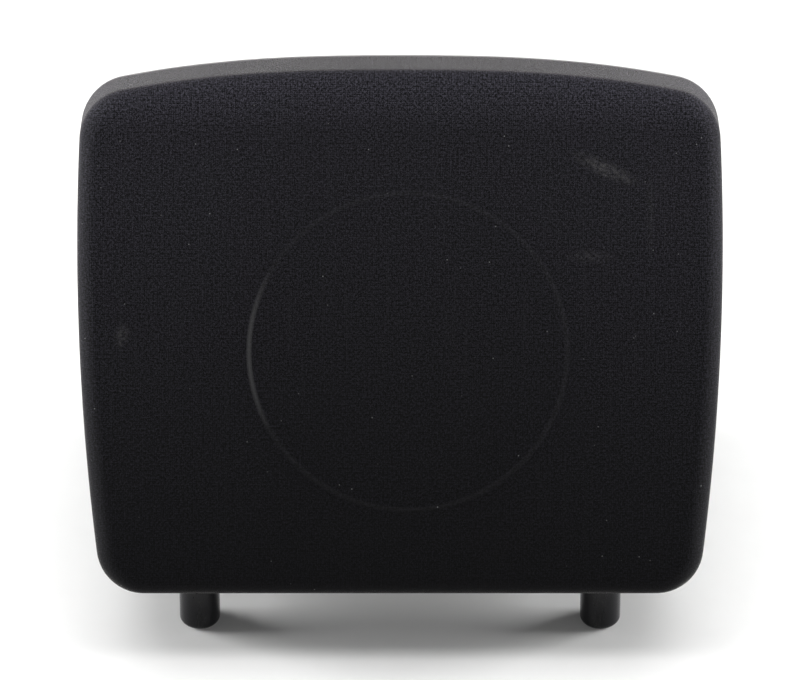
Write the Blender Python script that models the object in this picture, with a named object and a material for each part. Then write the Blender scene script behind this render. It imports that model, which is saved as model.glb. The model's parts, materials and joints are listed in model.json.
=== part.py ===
"""A compact powered stage monitor wedge: a hollow cabinet leaning back on four screw feet, a coaxial driver in
its baffle, an amplifier panel at the rear, and a deep cloth-covered hood that pulls off the front.

Metres, +Z up, the face looks along -Y and leans back. Pieces on the leaning face are children of an empty whose
X runs across the face, Y up the face and Z straight out of it, so they are drawn as if the face lay flat."""

import math

import bmesh
import bpy
import numpy as np

# ---- clearances --------------------------------------------------------------------------------------------
GAP = 0.0003  # between pieces that touch
SCREW_PLAY = 0.0005  # round a screw's shank
TURN_PLAY = 0.0004  # round a rocker, a shaft or a coil that moves

# ---- the leaning face and its hood -------------------------------------------------------------------------
LEAN = math.radians(30)  # how far the face leans back from upright
HOOD_WIDTH = 0.477  # across the widest point
HOOD_HEIGHT = 0.3862  # bottom edge to the crown, measured up the face
HOOD_DEPTH = 0.052
WIDEST_AT = 0.252  # height up the face where the sides are furthest apart
SIDE_RADIUS = 1.79  # each side is a long arc
ARCH_DROP = 0.0126  # how far the top has fallen ...
ARCH_AT = 0.1924  # ... this far from the middle
ARCH_POWER = 2.6
TOP_CORNER = 0.037
BOTTOM_CORNER = 0.034
EDGE_ROLL = 0.014  # rounding where the front turns into the skirt
TOP_DRAFT = math.radians(12)  # the top of the skirt flares up toward the cabinet
CLOTH = 0.001
FRAME_WALL = 0.004
PANEL = 0.004  # thickness of the hood's front plate
RECESS = 0.0015  # the plate lies this far behind its rim and its ring
RIM = 0.020
HOOD_OFF_CABINET = 0.0006
PEG_R = 0.0042
PEG_REACH = 0.010  # how far a peg reaches into the baffle
POST_R = 0.0075
PEG_FROM_SIDE_LOW, PEG_FROM_SIDE_HIGH = 0.0505, 0.0435
PEG_UP, PEG_DOWN = 0.045, 0.0405  # lower pegs up from the bottom edge, upper ones down from the crown
VENT_MARGIN = 0.008  # a vent in the plate is this much wider than its port all round

# ---- the driver, heights measured out of the face ----------------------------------------------------------
DRIVER_U, DRIVER_V = 0.006, 0.181  # its axis on the face
OPENING = 0.1175  # radius of the hood's round opening
RING = 0.004  # width of the raised ring around it
BAFFLE_HOLE = 0.1172
FLANGE_WIDTH = 0.0128  # the flange overlaps the baffle by this
FLANGE = 0.004
GASKET = 0.002
BASKET_WALL = 0.0020
SURROUND_WIDTH = 0.0139
SURROUND_SEAT = -0.0083
SURROUND_SHEET = 0.0008
CONE_SHEET = 0.0016
CONE_NECK = -0.0475
COIL_IN, COIL_OUT = 0.0311, 0.0325
COIL_LOW, COIL_HIGH = -0.0860, -0.0420
SPIDER_R, SPIDER_Z, SPIDER_WAVE, SPIDER_SHEET = 0.0840, -0.0542, 0.0012, 0.0007
LEDGE_Z = -0.0560  # the shelf the spider is glued to
POLE_R, POLE_BORE = 0.0300, 0.0128
PLATE_IN, PLATE_R, PLATE = 0.0336, 0.0675, 0.008
MAGNET_IN, MAGNET_R, MAGNET = 0.040, 0.0725, 0.020
PLATE_TOP = -0.0703  # front of the steel top plate
TWEETER_R, TWEETER_LENGTH = 0.042, 0.038
HORN_R, HORN_HIGH, HORN_SHEET = 0.0290, -0.0430, 0.0015
SCREW_R = 0.0021

# ---- the cabinet -------------------------------------------------------------------------------------------
WALL = 0.010
CABINET_INSET = 0.003
SIDE_TAPER = math.radians(5)
TOP_FALL = math.radians(12)  # the top falls this much more steeply than the hood's skirt
TOP_RUN = 0.1121  # from the cabinet's crown back to its rear wall
BAFFLE = 0.015
FACE_LIFT = 0.0773  # height of the hood's lower front edge
SOLE_DROP = 0.002  # the flat underside lies this far below the cabinet's lower front edge
REAR_CORNER = 0.028
REAR_PINCH = 0.0145  # the rear wall is this much narrower on each side where it is widest
REAR_TOP = 0.030
REAR_BOTTOM = 0.012
PORT_R, PORT_WALL, PORT_LENGTH = 0.030, 0.002, 0.100
PORT_FROM_SIDE, PORT_DOWN = 0.0415, 0.0465  # a port's outer wall, in from the widest side and down from the crown
PORT_LIP = 0.004
SOCKET_CUP_R, CUP_DEPTH = 0.0070, 0.0140
HANDLE_WIDTH, HANDLE_HEIGHT, HANDLE_DEPTH, HANDLE_LIP = 0.126, 0.060, 0.038, 0.008
HANDLE_SHEET = 0.003
HANDLE_DOWN = 0.066  # its middle, down the falling top from the crown

# ---- the feet ----------------------------------------------------------------------------------------------
FOOT_R = 0.0152
FOOT_FROM_SIDE = 0.0876
FOOT_FROM_REAR = 0.040
STUD_R = 0.005
STUD = 0.018
INSERT_R, INSERT_LIP = 0.0080, 0.004

# ---- the amplifier panel -----------------------------------------------------------------------------------
AMP_WIDTH, AMP_HEIGHT, AMP_SHEET = 0.300, 0.170, 0.003
AMP_LAP = 0.015  # how far the panel laps over the wall around its window
AMP_UP = 0.0235  # bottom of the panel above the flat underside
KNOB_R, KNOB_LENGTH, SHAFT_R = 0.008, 0.013, 0.0030
BUSH_R, POT_R = 0.0048, 0.0085
KNOB_XS = (-0.118, -0.082, -0.046)
ROW_TOP, ROW_MIDDLE, ROW_BOTTOM = 0.055, 0.008, -0.047
SOCKET_R, SOCKET_RIM, SOCKET_BORE, SOCKET_DEPTH = 0.0118, 0.0155, 0.0095, 0.022
SWITCH_X = -0.046
SWITCH_WIDTH, SWITCH_HEIGHT, SWITCH_WALL = 0.0170, 0.0275, 0.0015
INLET_X = -0.100
INLET_WIDTH, INLET_HEIGHT, INLET_WALL = 0.0270, 0.0195, 0.00175
LED_X, LED_R = -0.016, 0.0024
SINK_X, SINK_WIDTH, SINK_HEIGHT, SINK_DEPTH, SINK_BASE = 0.078, 0.110, 0.130, 0.024, 0.005
FINS, FIN = 12, 0.0022
AMP_SCREW_R, AMP_SCREW_IN = 0.0016, 0.007
BOARD_WIDTH, BOARD_HEIGHT, BOARD_SHEET, BOARD_BACK = 0.230, 0.120, 0.0016, 0.0330

# ---- inside ------------------------------------------------------------------------------------------------
COIL_RING_R, COIL_RING_HEIGHT = 0.048, 0.038
PAD_WIDTH, PAD_LENGTH, PAD_SHEET = 0.200, 0.150, 0.012

# ---- worked out from those ---------------------------------------------------------------------------------
DRAFT_GROW = HOOD_DEPTH * math.tan(TOP_DRAFT) / HOOD_HEIGHT
LIFT = FACE_LIFT - HOOD_DEPTH * math.sin(LEAN)  # height of the cabinet's lower front edge
FOOT_HEIGHT = LIFT - SOLE_DROP  # the flat underside stands this high
CROWN_V = HOOD_HEIGHT * (1 + DRAFT_GROW) - CABINET_INSET
CROWN_Y = HOOD_DEPTH * math.cos(LEAN) + CROWN_V * math.sin(LEAN)
CROWN_Z = LIFT + CROWN_V * math.cos(LEAN)
REAR_Y = CROWN_Y + TOP_RUN  # rear wall, behind the hood's lower front edge
FLAT_Y = (  # where the flat underside begins
    HOOD_DEPTH * math.cos(LEAN)
    + CABINET_INSET * math.sin(LEAN)
    + (SOLE_DROP + CABINET_INSET * math.cos(LEAN)) / math.tan(LEAN)
)
FOOT_X = HOOD_WIDTH / 2 - FOOT_FROM_SIDE
FOOT_FRONT_Y = FLAT_Y + FOOT_R
FOOT_REAR_Y = REAR_Y - FOOT_FROM_REAR
PORT_U = HOOD_WIDTH / 2 - PORT_FROM_SIDE - PORT_WALL - PORT_R
PORT_V = HOOD_HEIGHT - PORT_DOWN - PORT_WALL - PORT_R
PEG_LOW_U, PEG_HIGH_U = HOOD_WIDTH / 2 - PEG_FROM_SIDE_LOW, HOOD_WIDTH / 2 - PEG_FROM_SIDE_HIGH
PEG_LOW_V, PEG_HIGH_V = PEG_UP, HOOD_HEIGHT - PEG_DOWN
PEGS = (
    (-PEG_LOW_U, PEG_LOW_V),
    (PEG_LOW_U, PEG_LOW_V),
    (-PEG_HIGH_U, PEG_HIGH_V),
    (PEG_HIGH_U, PEG_HIGH_V),
)
FLANGE_R = BAFFLE_HOLE + FLANGE_WIDTH
BASKET_R = BAFFLE_HOLE - TURN_PLAY
SURROUND_OUT = BASKET_R - BASKET_WALL - 2 * GAP
CONE_R = SURROUND_OUT - SURROUND_WIDTH - GAP
DRIVER_SCREW_R = BAFFLE_HOLE + FLANGE_WIDTH / 2
AMP_Z = FOOT_HEIGHT + AMP_UP + AMP_HEIGHT / 2
AMP_EDGE_X, AMP_EDGE_Y = AMP_WIDTH / 2 - AMP_LAP / 2, AMP_HEIGHT / 2 - AMP_LAP / 2
AMP_SCREWS = (
    (-AMP_EDGE_X, AMP_EDGE_Y),
    (AMP_EDGE_X, AMP_EDGE_Y),
    (-AMP_EDGE_X, -AMP_EDGE_Y),
    (AMP_EDGE_X, -AMP_EDGE_Y),
)


# ---- scene and mesh helpers --------------------------------------------------------------------------------
def clear():
    for thing in list(bpy.data.objects):
        bpy.data.objects.remove(thing, do_unlink=True)


def paint(name, colour, metallic=0.0, roughness=0.5):
    made = bpy.data.materials.get(name)
    if made is None:
        made = bpy.data.materials.new(name)
        made.use_nodes = True
        shader = made.node_tree.nodes["Principled BSDF"]
        shader.inputs["Base Color"].default_value = (*colour, 1)
        shader.inputs["Metallic"].default_value = metallic
        shader.inputs["Roughness"].default_value = roughness
        made.diffuse_color = (*colour, 1)
    return made


def empty(name, parent=None, at=(0, 0, 0), turn=(0, 0, 0)):
    made = bpy.data.objects.new(name, None)
    bpy.context.scene.collection.objects.link(made)
    made.parent = parent
    made.location = at
    made.rotation_euler = turn
    return made


def solid(name, points, faces, material, parent, at=(0, 0, 0), turn=(0, 0, 0), smooth=True):
    """One closed mesh as an object, its faces turned outwards."""
    mesh = bpy.data.meshes.new(name)
    work = bmesh.new()
    corners = [work.verts.new(p) for p in points]
    for face in faces:
        work.faces.new([corners[i] for i in face])
    bmesh.ops.recalc_face_normals(work, faces=work.faces)
    work.to_mesh(mesh)
    work.free()
    mesh.materials.append(material)
    if smooth:
        mesh.polygons.foreach_set("use_smooth", [True] * len(mesh.polygons))
        mesh.set_sharp_from_angle(angle=math.radians(38))
    made = bpy.data.objects.new(name, mesh)
    bpy.context.scene.collection.objects.link(made)
    made.parent = parent
    made.location = at
    made.rotation_euler = turn
    return made


def loft(loops):
    """Points and faces of a body through equal loops, closed by a cap at each end."""
    count = len(loops[0])
    points = [tuple(p) for loop in loops for p in loop]
    faces = [tuple(range(count)), tuple(range(len(points) - 1, len(points) - count - 1, -1))]
    for row in range(len(loops) - 1):
        start = row * count
        for i in range(count):
            j = (i + 1) % count
            faces.append((start + i, start + j, start + count + j, start + count + i))
    return points, faces


def lathe(profile, steps=32):
    """Points and faces of a (radius, height) profile turned about Z. A profile with points on the axis is open
    there; any other profile is a closed ring."""
    points, rows = [], []
    for radius, height in profile:
        if radius < 1e-9:
            rows.append([len(points)])
            points.append((0, 0, height))
            continue
        rows.append(list(range(len(points), len(points) + steps)))
        for i in range(steps):
            angle = 2 * math.pi * i / steps
            points.append((radius * math.cos(angle), radius * math.sin(angle), height))
    if all(len(row) > 1 for row in rows):
        rows.append(rows[0])
    faces = []
    for low, high in zip(rows, rows[1:]):
        for i in range(steps):
            j = (i + 1) % steps
            face = [low[i % len(low)], low[j % len(low)], high[j % len(high)], high[i % len(high)]]
            faces.append(tuple(dict.fromkeys(face)))
    return points, [face for face in faces if len(face) > 2]


def block(size, centre=(0, 0, 0)):
    """Points and faces of a plain box."""
    half = np.array(size) / 2
    ring = [(-1, -1), (1, -1), (1, 1), (-1, 1)]
    loops = [[np.array(centre) + half * (x, y, z) for x, y in ring] for z in (-1, 1)]
    return loft(loops)


def rounded(width, height, radius, centre=(0, 0), steps=4):
    """A rounded rectangle as 2-D points."""
    found = []
    for turn, (sx, sy) in enumerate(((1, 1), (-1, 1), (-1, -1), (1, -1))):
        cx = centre[0] + sx * (width / 2 - radius)
        cy = centre[1] + sy * (height / 2 - radius)
        for i in range(steps + 1):
            angle = math.pi / 2 * (turn + i / steps)
            found.append((cx + radius * math.cos(angle), cy + radius * math.sin(angle)))
    return found


def prism(shape, low, high):
    return loft([[(x, y, z) for x, y in shape] for z in (low, high)])


def around(body, spots, turns=None):
    """One helper mesh made of several copies of a body, each moved to a spot and turned about Z first."""
    points, faces = [], []
    for (dx, dy), turn in zip(spots, turns or [0] * len(spots)):
        start = len(points)
        c, s = math.cos(turn), math.sin(turn)
        points += [(x * c - y * s + dx, x * s + y * c + dy, z) for x, y, z in body[0]]
        faces += [tuple(start + i for i in face) for face in body[1]]
    return points, faces


def combine(target, operation, points, faces, parent=None, at=(0, 0, 0), turn=(0, 0, 0), solver="EXACT"):
    """A Boolean with a hidden helper, placed in the target's own parent unless another is given."""
    name = f"helper_{len(bpy.data.objects)}"
    helper = solid(name, points, faces, target.data.materials[0], parent or target.parent, at, turn)
    helper.hide_render = True
    helper.display_type = "WIRE"
    step = target.modifiers.new(operation.lower(), "BOOLEAN")
    step.operation = operation
    step.solver = solver
    step.object = helper
    return helper


# ---- the face's outline ------------------------------------------------------------------------------------
def side_curve(v):
    slope = (v - WIDEST_AT) / SIDE_RADIUS
    point = np.array((HOOD_WIDTH / 2 - (v - WIDEST_AT) ** 2 / (2 * SIDE_RADIUS), v))
    normal = np.array((1, slope))
    return point, normal / np.linalg.norm(normal)


def top_curve(u):
    reach = abs(u) / ARCH_AT
    slope = -ARCH_DROP * ARCH_POWER / ARCH_AT * reach ** (ARCH_POWER - 1)
    normal = np.array((-slope, 1))
    return np.array((u, HOOD_HEIGHT - ARCH_DROP * reach**ARCH_POWER)), normal / np.linalg.norm(normal)


def bottom_curve(u):
    return np.array((u, 0.0)), np.array((0.0, -1.0))


def fillet(edge, radius, v, u):
    """Where an arc of this radius touches the side and the edge: the v, the u and the arc's centre."""
    for _ in range(30):
        centres = []
        for dv, du in ((0, 0), (1e-5, 0), (0, 1e-5)):
            side_point, side_normal = side_curve(v + dv)
            edge_point, edge_normal = edge(u + du)
            centres.append(side_point - radius * side_normal - edge_point + radius * edge_normal)
        slopes = np.column_stack([(c - centres[0]) / 1e-5 for c in centres[1:]])
        dv, du = np.linalg.solve(slopes, -centres[0])
        v, u = v + dv, u + du
    point, normal = side_curve(v)
    return v, u, point - radius * normal


def arc(centre, radius, start, end, steps):
    angles = np.linspace(start, end, steps + 1)
    return [centre + radius * np.array((math.cos(a), math.sin(a))) for a in angles]


def outline():
    """The hood's front outline as (u, v) points, counter-clockwise, the same left and right."""
    low_v, low_u, low_centre = fillet(bottom_curve, BOTTOM_CORNER, BOTTOM_CORNER, 0.18)
    high_v, high_u, high_centre = fillet(top_curve, TOP_CORNER, HOOD_HEIGHT - TOP_CORNER, 0.19)
    low_normal, high_normal = side_curve(low_v)[1], side_curve(high_v)[1]
    top_normal = top_curve(high_u)[1]
    angle = [math.atan2(n[1], n[0]) for n in (low_normal, high_normal, top_normal)]
    right = [np.array((low_u / 2, 0.0))]
    right += arc(low_centre, BOTTOM_CORNER, -math.pi / 2, angle[0], 6)
    right += [side_curve(v)[0] for v in np.linspace(low_v, high_v, 8)[1:-1]]
    right += arc(high_centre, TOP_CORNER, angle[1], angle[2], 7)
    right += [top_curve(u)[0] for u in np.linspace(high_u, 0, 8)[1:-1]]
    left = [np.array((-x, y)) for x, y in reversed(right)]
    return [np.array((0.0, 0.0)), *right, np.array((0.0, HOOD_HEIGHT)), *left]


OUTLINE = np.array(outline())


def section(inset, out):
    """The outline as (u, v, out) points, at this distance out of the face and moved in by inset."""
    grow = 1 + DRAFT_GROW * (1 - max(out, 0) / HOOD_DEPTH)
    deep = max(-out, 0)
    wide = 1 - 2 * deep * math.tan(SIDE_TAPER) / HOOD_WIDTH
    tall = grow - deep * math.tan(TOP_FALL) / HOOD_HEIGHT
    loop = OUTLINE * (wide, tall)
    along = np.roll(loop, -1, axis=0) - np.roll(loop, 1, axis=0)
    normal = np.column_stack((along[:, 1], -along[:, 0]))
    normal /= np.linalg.norm(normal, axis=1)[:, None]
    moved = loop - inset * normal
    return [(u, v, out) for u, v in moved]


def roll(offset, steps):
    """Loops of the hood's rounded front edge, on the surface this far under the cloth's outer face."""
    radius = EDGE_ROLL - offset
    front = HOOD_DEPTH - offset
    loops = []
    for i in range(steps + 1):
        angle = math.pi / 2 * i / steps
        loops.append(
            section(offset + radius * (1 - math.cos(angle)), front - radius * (1 - math.sin(angle)))
        )
    return loops


# ---- the hood ----------------------------------------------------------------------------------------------
def build_hood(face):
    back = HOOD_OFF_CABINET
    cloth = [*reversed(roll(CLOTH, 4)), section(CLOTH, back), section(0, back), *roll(0, 4)]
    solid("grille_cloth", *loft(cloth), paint("cloth", (0.012, 0.012, 0.014), 0, 0.95), face)

    under = CLOTH + GAP
    front = HOOD_DEPTH - under
    inside = front - RECESS - PANEL
    tray = [
        section(under + FRAME_WALL, inside),
        section(under + FRAME_WALL, back),
        section(under, back),
        *roll(under, 3),
    ]
    frame = solid("grille_frame", *loft(tray), paint("frame_plastic", (0.02, 0.02, 0.02), 0, 0.6), face)
    for u, v in PEGS:
        post = [(0, -PEG_REACH), (0.7 * PEG_R, -PEG_REACH), (PEG_R, 0.0015 - PEG_REACH), (PEG_R, 0.006)]
        post += [(POST_R, 0.008), (POST_R, inside + 0.001), (0, inside + 0.001)]
        combine(frame, "UNION", *lathe(post, 12), at=(u, v, 0))
    pocket = loft([section(under + RIM, front - RECESS), section(under + RIM, front + 0.01)])
    cutter = combine(frame, "DIFFERENCE", *pocket)
    keep = [(0, front - RECESS - 0.005), (OPENING + RING, front - RECESS - 0.005)]
    keep += [(OPENING + RING, front + 0.02), (0, front + 0.02)]
    combine(cutter, "DIFFERENCE", *lathe(keep, 48), at=(DRIVER_U, DRIVER_V, 0))
    hole = [(0, inside - 0.01), (OPENING, inside - 0.01), (OPENING, front + 0.01), (0, front + 0.01)]
    combine(frame, "DIFFERENCE", *lathe(hole, 48), at=(DRIVER_U, DRIVER_V, 0))
    vent = PORT_R + VENT_MARGIN
    for side in (-1, 1):
        hole = [(0, inside - 0.01), (vent, inside - 0.01), (vent, front + 0.01), (0, front + 0.01)]
        combine(frame, "DIFFERENCE", *lathe(hole, 24), at=(side * PORT_U, PORT_V, 0))


# ---- the driver --------------------------------------------------------------------------------------------
def driver_screw_spots():
    angles = [math.radians(45 + 90 * i) for i in range(4)]
    return [(DRIVER_SCREW_R * math.cos(a), DRIVER_SCREW_R * math.sin(a)) for a in angles]


def screw_holes():
    bore = SCREW_R + SCREW_PLAY
    return around(lathe([(0, -0.05), (bore, -0.05), (bore, 0.05), (0, 0.05)], 8), driver_screw_spots())


def build_driver(axis):
    steel = paint("plated_steel", (0.45, 0.45, 0.46), 1, 0.35)
    rubber = paint("rubber", (0.02, 0.02, 0.02), 0, 0.8)
    seat = GAP
    flange_low = seat + GASKET + GAP
    flange_high = flange_low + FLANGE
    ring = [(BAFFLE_HOLE, seat), (FLANGE_R, seat), (FLANGE_R, seat + GASKET), (BAFFLE_HOLE, seat + GASKET)]
    solid("driver_gasket", *lathe(ring, 48), rubber, axis)

    base = PLATE_TOP + GAP
    inner = BASKET_R - BASKET_WALL
    shelf = SPIDER_R + 0.002
    bowl = [
        (FLANGE_R, flange_low),
        (FLANGE_R, flange_high),
        (inner + 0.0007, flange_high),
        (inner, SURROUND_SEAT),
        (inner - 0.0068, SURROUND_SEAT),
        (shelf, LEDGE_Z),
        (shelf - 0.0080, LEDGE_Z - 0.0015),
        (shelf - 0.0100, base + 0.004),
        (MAGNET_IN + 0.002, base + 0.004),
        (MAGNET_IN + 0.002, base),
        (shelf - 0.0060, base),
        (shelf + 0.0035, LEDGE_Z - 0.004),
        (inner - 0.0028, SURROUND_SEAT - 0.0042),
        (BASKET_R, SURROUND_SEAT - 0.0037),
        (BASKET_R, flange_low),
    ]
    basket = solid("driver_basket", *lathe(bowl, 48), paint("cast_basket", (0.05, 0.05, 0.05), 0.6, 0.5), axis)
    windows = around(block((0.070, 0.052, 0.036), (0.113, 0, -0.0331)), [(0, 0)] * 6,
                     [math.radians(60 * i + 33) for i in range(6)])
    combine(basket, "DIFFERENCE", *windows)
    combine(basket, "DIFFERENCE", *screw_holes())
    combine(bpy.data.objects["driver_gasket"], "DIFFERENCE", *screw_holes())
    for i, (x, y) in enumerate(driver_screw_spots()):
        spot = (x, y, 0)
        head = flange_high + GAP
        wide = 2 * SCREW_R
        screw = [(0, -0.012), (SCREW_R, -0.012), (SCREW_R, head), (wide, head), (wide, head + 0.002)]
        screw += [(0.7 * wide, head + 0.0030), (0, head + 0.0030)]
        solid(f"driver_screw_{i + 1}", *lathe(screw, 10), paint("black_screw", (0.03, 0.03, 0.03), 1, 0.4), axis, spot)

    plate_low = PLATE_TOP - PLATE
    top = [(PLATE_IN, plate_low), (PLATE_R, plate_low), (PLATE_R, PLATE_TOP), (PLATE_IN, PLATE_TOP)]
    solid("top_plate", *lathe(top, 36), steel, axis)
    magnet_high = plate_low - GAP
    magnet_low = magnet_high - MAGNET
    ring = [(MAGNET_IN, magnet_low), (MAGNET_R, magnet_low), (MAGNET_R, magnet_high), (MAGNET_IN, magnet_high)]
    solid("magnet_ring", *lathe(ring, 36), paint("ferrite", (0.04, 0.04, 0.045), 0, 0.6), axis)
    yoke_high = magnet_low - GAP
    yoke_low = yoke_high - PLATE
    yoke = [
        (POLE_BORE, yoke_low),
        (PLATE_R, yoke_low),
        (PLATE_R, yoke_high),
        (POLE_R, yoke_high),
        (POLE_R, PLATE_TOP),
        (POLE_BORE, PLATE_TOP),
    ]
    solid("pole_yoke", *lathe(yoke, 36), steel, axis)
    tweeter_high = yoke_low - GAP
    tweeter_low = tweeter_high - TWEETER_LENGTH
    can = [(0, tweeter_low), (TWEETER_R - 0.012, tweeter_low), (TWEETER_R - 0.006, tweeter_low + 0.004)]
    can += [(TWEETER_R, tweeter_low + 0.006), (TWEETER_R, tweeter_high - 0.004), (TWEETER_R - 0.003, tweeter_high)]
    can += [(0, tweeter_high)]
    solid("compression_driver", *lathe(can, 32), paint("driver_can", (0.03, 0.03, 0.03), 0.3, 0.4), axis)
    throat = POLE_BORE - GAP
    sleeve = throat - 0.0025
    horn = [
        (sleeve, yoke_low + 0.001),
        (throat, yoke_low + 0.001),
        (throat, PLATE_TOP + 0.001),
        (throat + 0.0055, PLATE_TOP + 0.010),
        (HORN_R, HORN_HIGH - 0.001),
        (HORN_R - HORN_SHEET, HORN_HIGH),
        (sleeve + 0.005, PLATE_TOP + 0.012),
        (sleeve, PLATE_TOP + 0.001),
    ]
    solid("horn_flare", *lathe(horn, 28), paint("horn_plastic", (0.025, 0.025, 0.025), 0, 0.4), axis)

    coil = [(COIL_IN, COIL_LOW), (COIL_OUT, COIL_LOW), (COIL_OUT, COIL_HIGH), (COIL_IN, COIL_HIGH)]
    solid("voice_coil", *lathe(coil, 32), paint("copper_coil", (0.6, 0.25, 0.1), 1, 0.35), axis)
    neck = COIL_OUT + GAP
    edge = SURROUND_SEAT + GAP  # underside of the cone's outer edge
    belly = neck + 0.53 * (CONE_R - neck)  # the cone is a little bowed here
    belly_z = CONE_NECK + 0.52 * (edge - CONE_NECK)
    cone = [
        (neck, CONE_NECK),
        (neck + 0.0016, CONE_NECK),
        (belly, belly_z),
        (CONE_R, edge),
        (CONE_R, edge + CONE_SHEET),
        (belly - 0.0008, belly_z + CONE_SHEET + 0.0006),
        (neck, CONE_NECK + 0.0035),
    ]
    solid("cone", *lathe(cone, 48), paint("paper_cone", (0.03, 0.03, 0.032), 0, 0.8), axis)
    half = SURROUND_WIDTH / 2
    middle = SURROUND_OUT - half
    thin = half - SURROUND_SHEET
    high = [(middle - half * math.cos(a), edge + SURROUND_SHEET + half * math.sin(a))
            for a in np.linspace(0, math.pi, 6)]
    low = [(middle + thin * math.cos(a), edge + thin * math.sin(a)) for a in np.linspace(0, math.pi, 6)]
    solid("surround", *lathe([*high, *low], 48), rubber, axis)
    waves = 4
    radii = np.linspace(neck, SPIDER_R, 2 * waves + 1)
    sheet = [(r, SPIDER_Z + (SPIDER_WAVE if i % 2 else -SPIDER_WAVE)) for i, r in enumerate(radii)]
    spider = [*sheet, *[(r, z - SPIDER_SHEET) for r, z in reversed(sheet)]]
    solid("spider", *lathe(spider, 32), paint("spider_cloth", (0.35, 0.25, 0.12), 0, 0.9), axis)


# ---- the cabinet -------------------------------------------------------------------------------------------
def cabinet_blank(inset, start):
    """The cabinet's outside in the face's frame, made smaller all round by inset."""
    loops = [section(CABINET_INSET + inset, -0.50), section(CABINET_INSET + inset, 0)]
    if start > 0:
        loops.append([(u, v, start) for u, v, _ in loops[1]])
    return loft(loops)


def profile_blank(inset):
    """Side-on shape that gives the flat underside, the upright rear wall and their roundings, in the world's frame:
    drawn as (y, z) and pushed out along x."""
    low, rear = FOOT_HEIGHT + inset, REAR_Y - inset
    crown = np.array((CROWN_Y, CROWN_Z))
    fall = LEAN + TOP_FALL
    along = np.array((math.cos(fall), -math.sin(fall)))
    upward = np.array((math.sin(fall), math.cos(fall)))
    radius = REAR_TOP - inset
    lift = 0.0008 - inset
    base = crown + lift * upward
    # The arc touches the falling top line and the upright rear line.
    reach = (rear - radius - (base - radius * upward)[0]) / along[0]
    centre = base - radius * upward + reach * along
    shape = [(-0.10, low)]
    small = max(REAR_BOTTOM - inset, 0.003)
    shape += [tuple(p) for p in arc(np.array((rear - small, low + small)), small, -math.pi / 2, 0, 4)]
    shape += [tuple(p) for p in arc(centre, radius, 0, math.pi / 2 - fall, 5)]
    shape += [tuple(base - 0.30 * along), (-0.10, (base - 0.30 * along)[1])]
    return loft([[(x, y, z) for y, z in shape] for x in (-0.40, 0.40)])


def plan_blank(inset):
    """Plan view shape with the rounded rear corners, pushed up along z."""
    rear = REAR_Y - inset
    half = HOOD_WIDTH / 2 - CABINET_INSET - REAR_PINCH - inset
    radius = REAR_CORNER - inset
    slope = 2 * math.tan(SIDE_TAPER)  # steeper than the cabinet's own sides, so that only the corners are cut
    right = [(half + 0.60 * slope, rear - 0.60)]
    right += [tuple(p) for p in arc(np.array((half - radius, rear - radius)), radius, math.atan(slope), math.pi / 2, 5)]
    left = [(-x, y) for x, y in reversed(right)]
    return prism([*right, *left], -0.10, 0.60)


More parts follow.
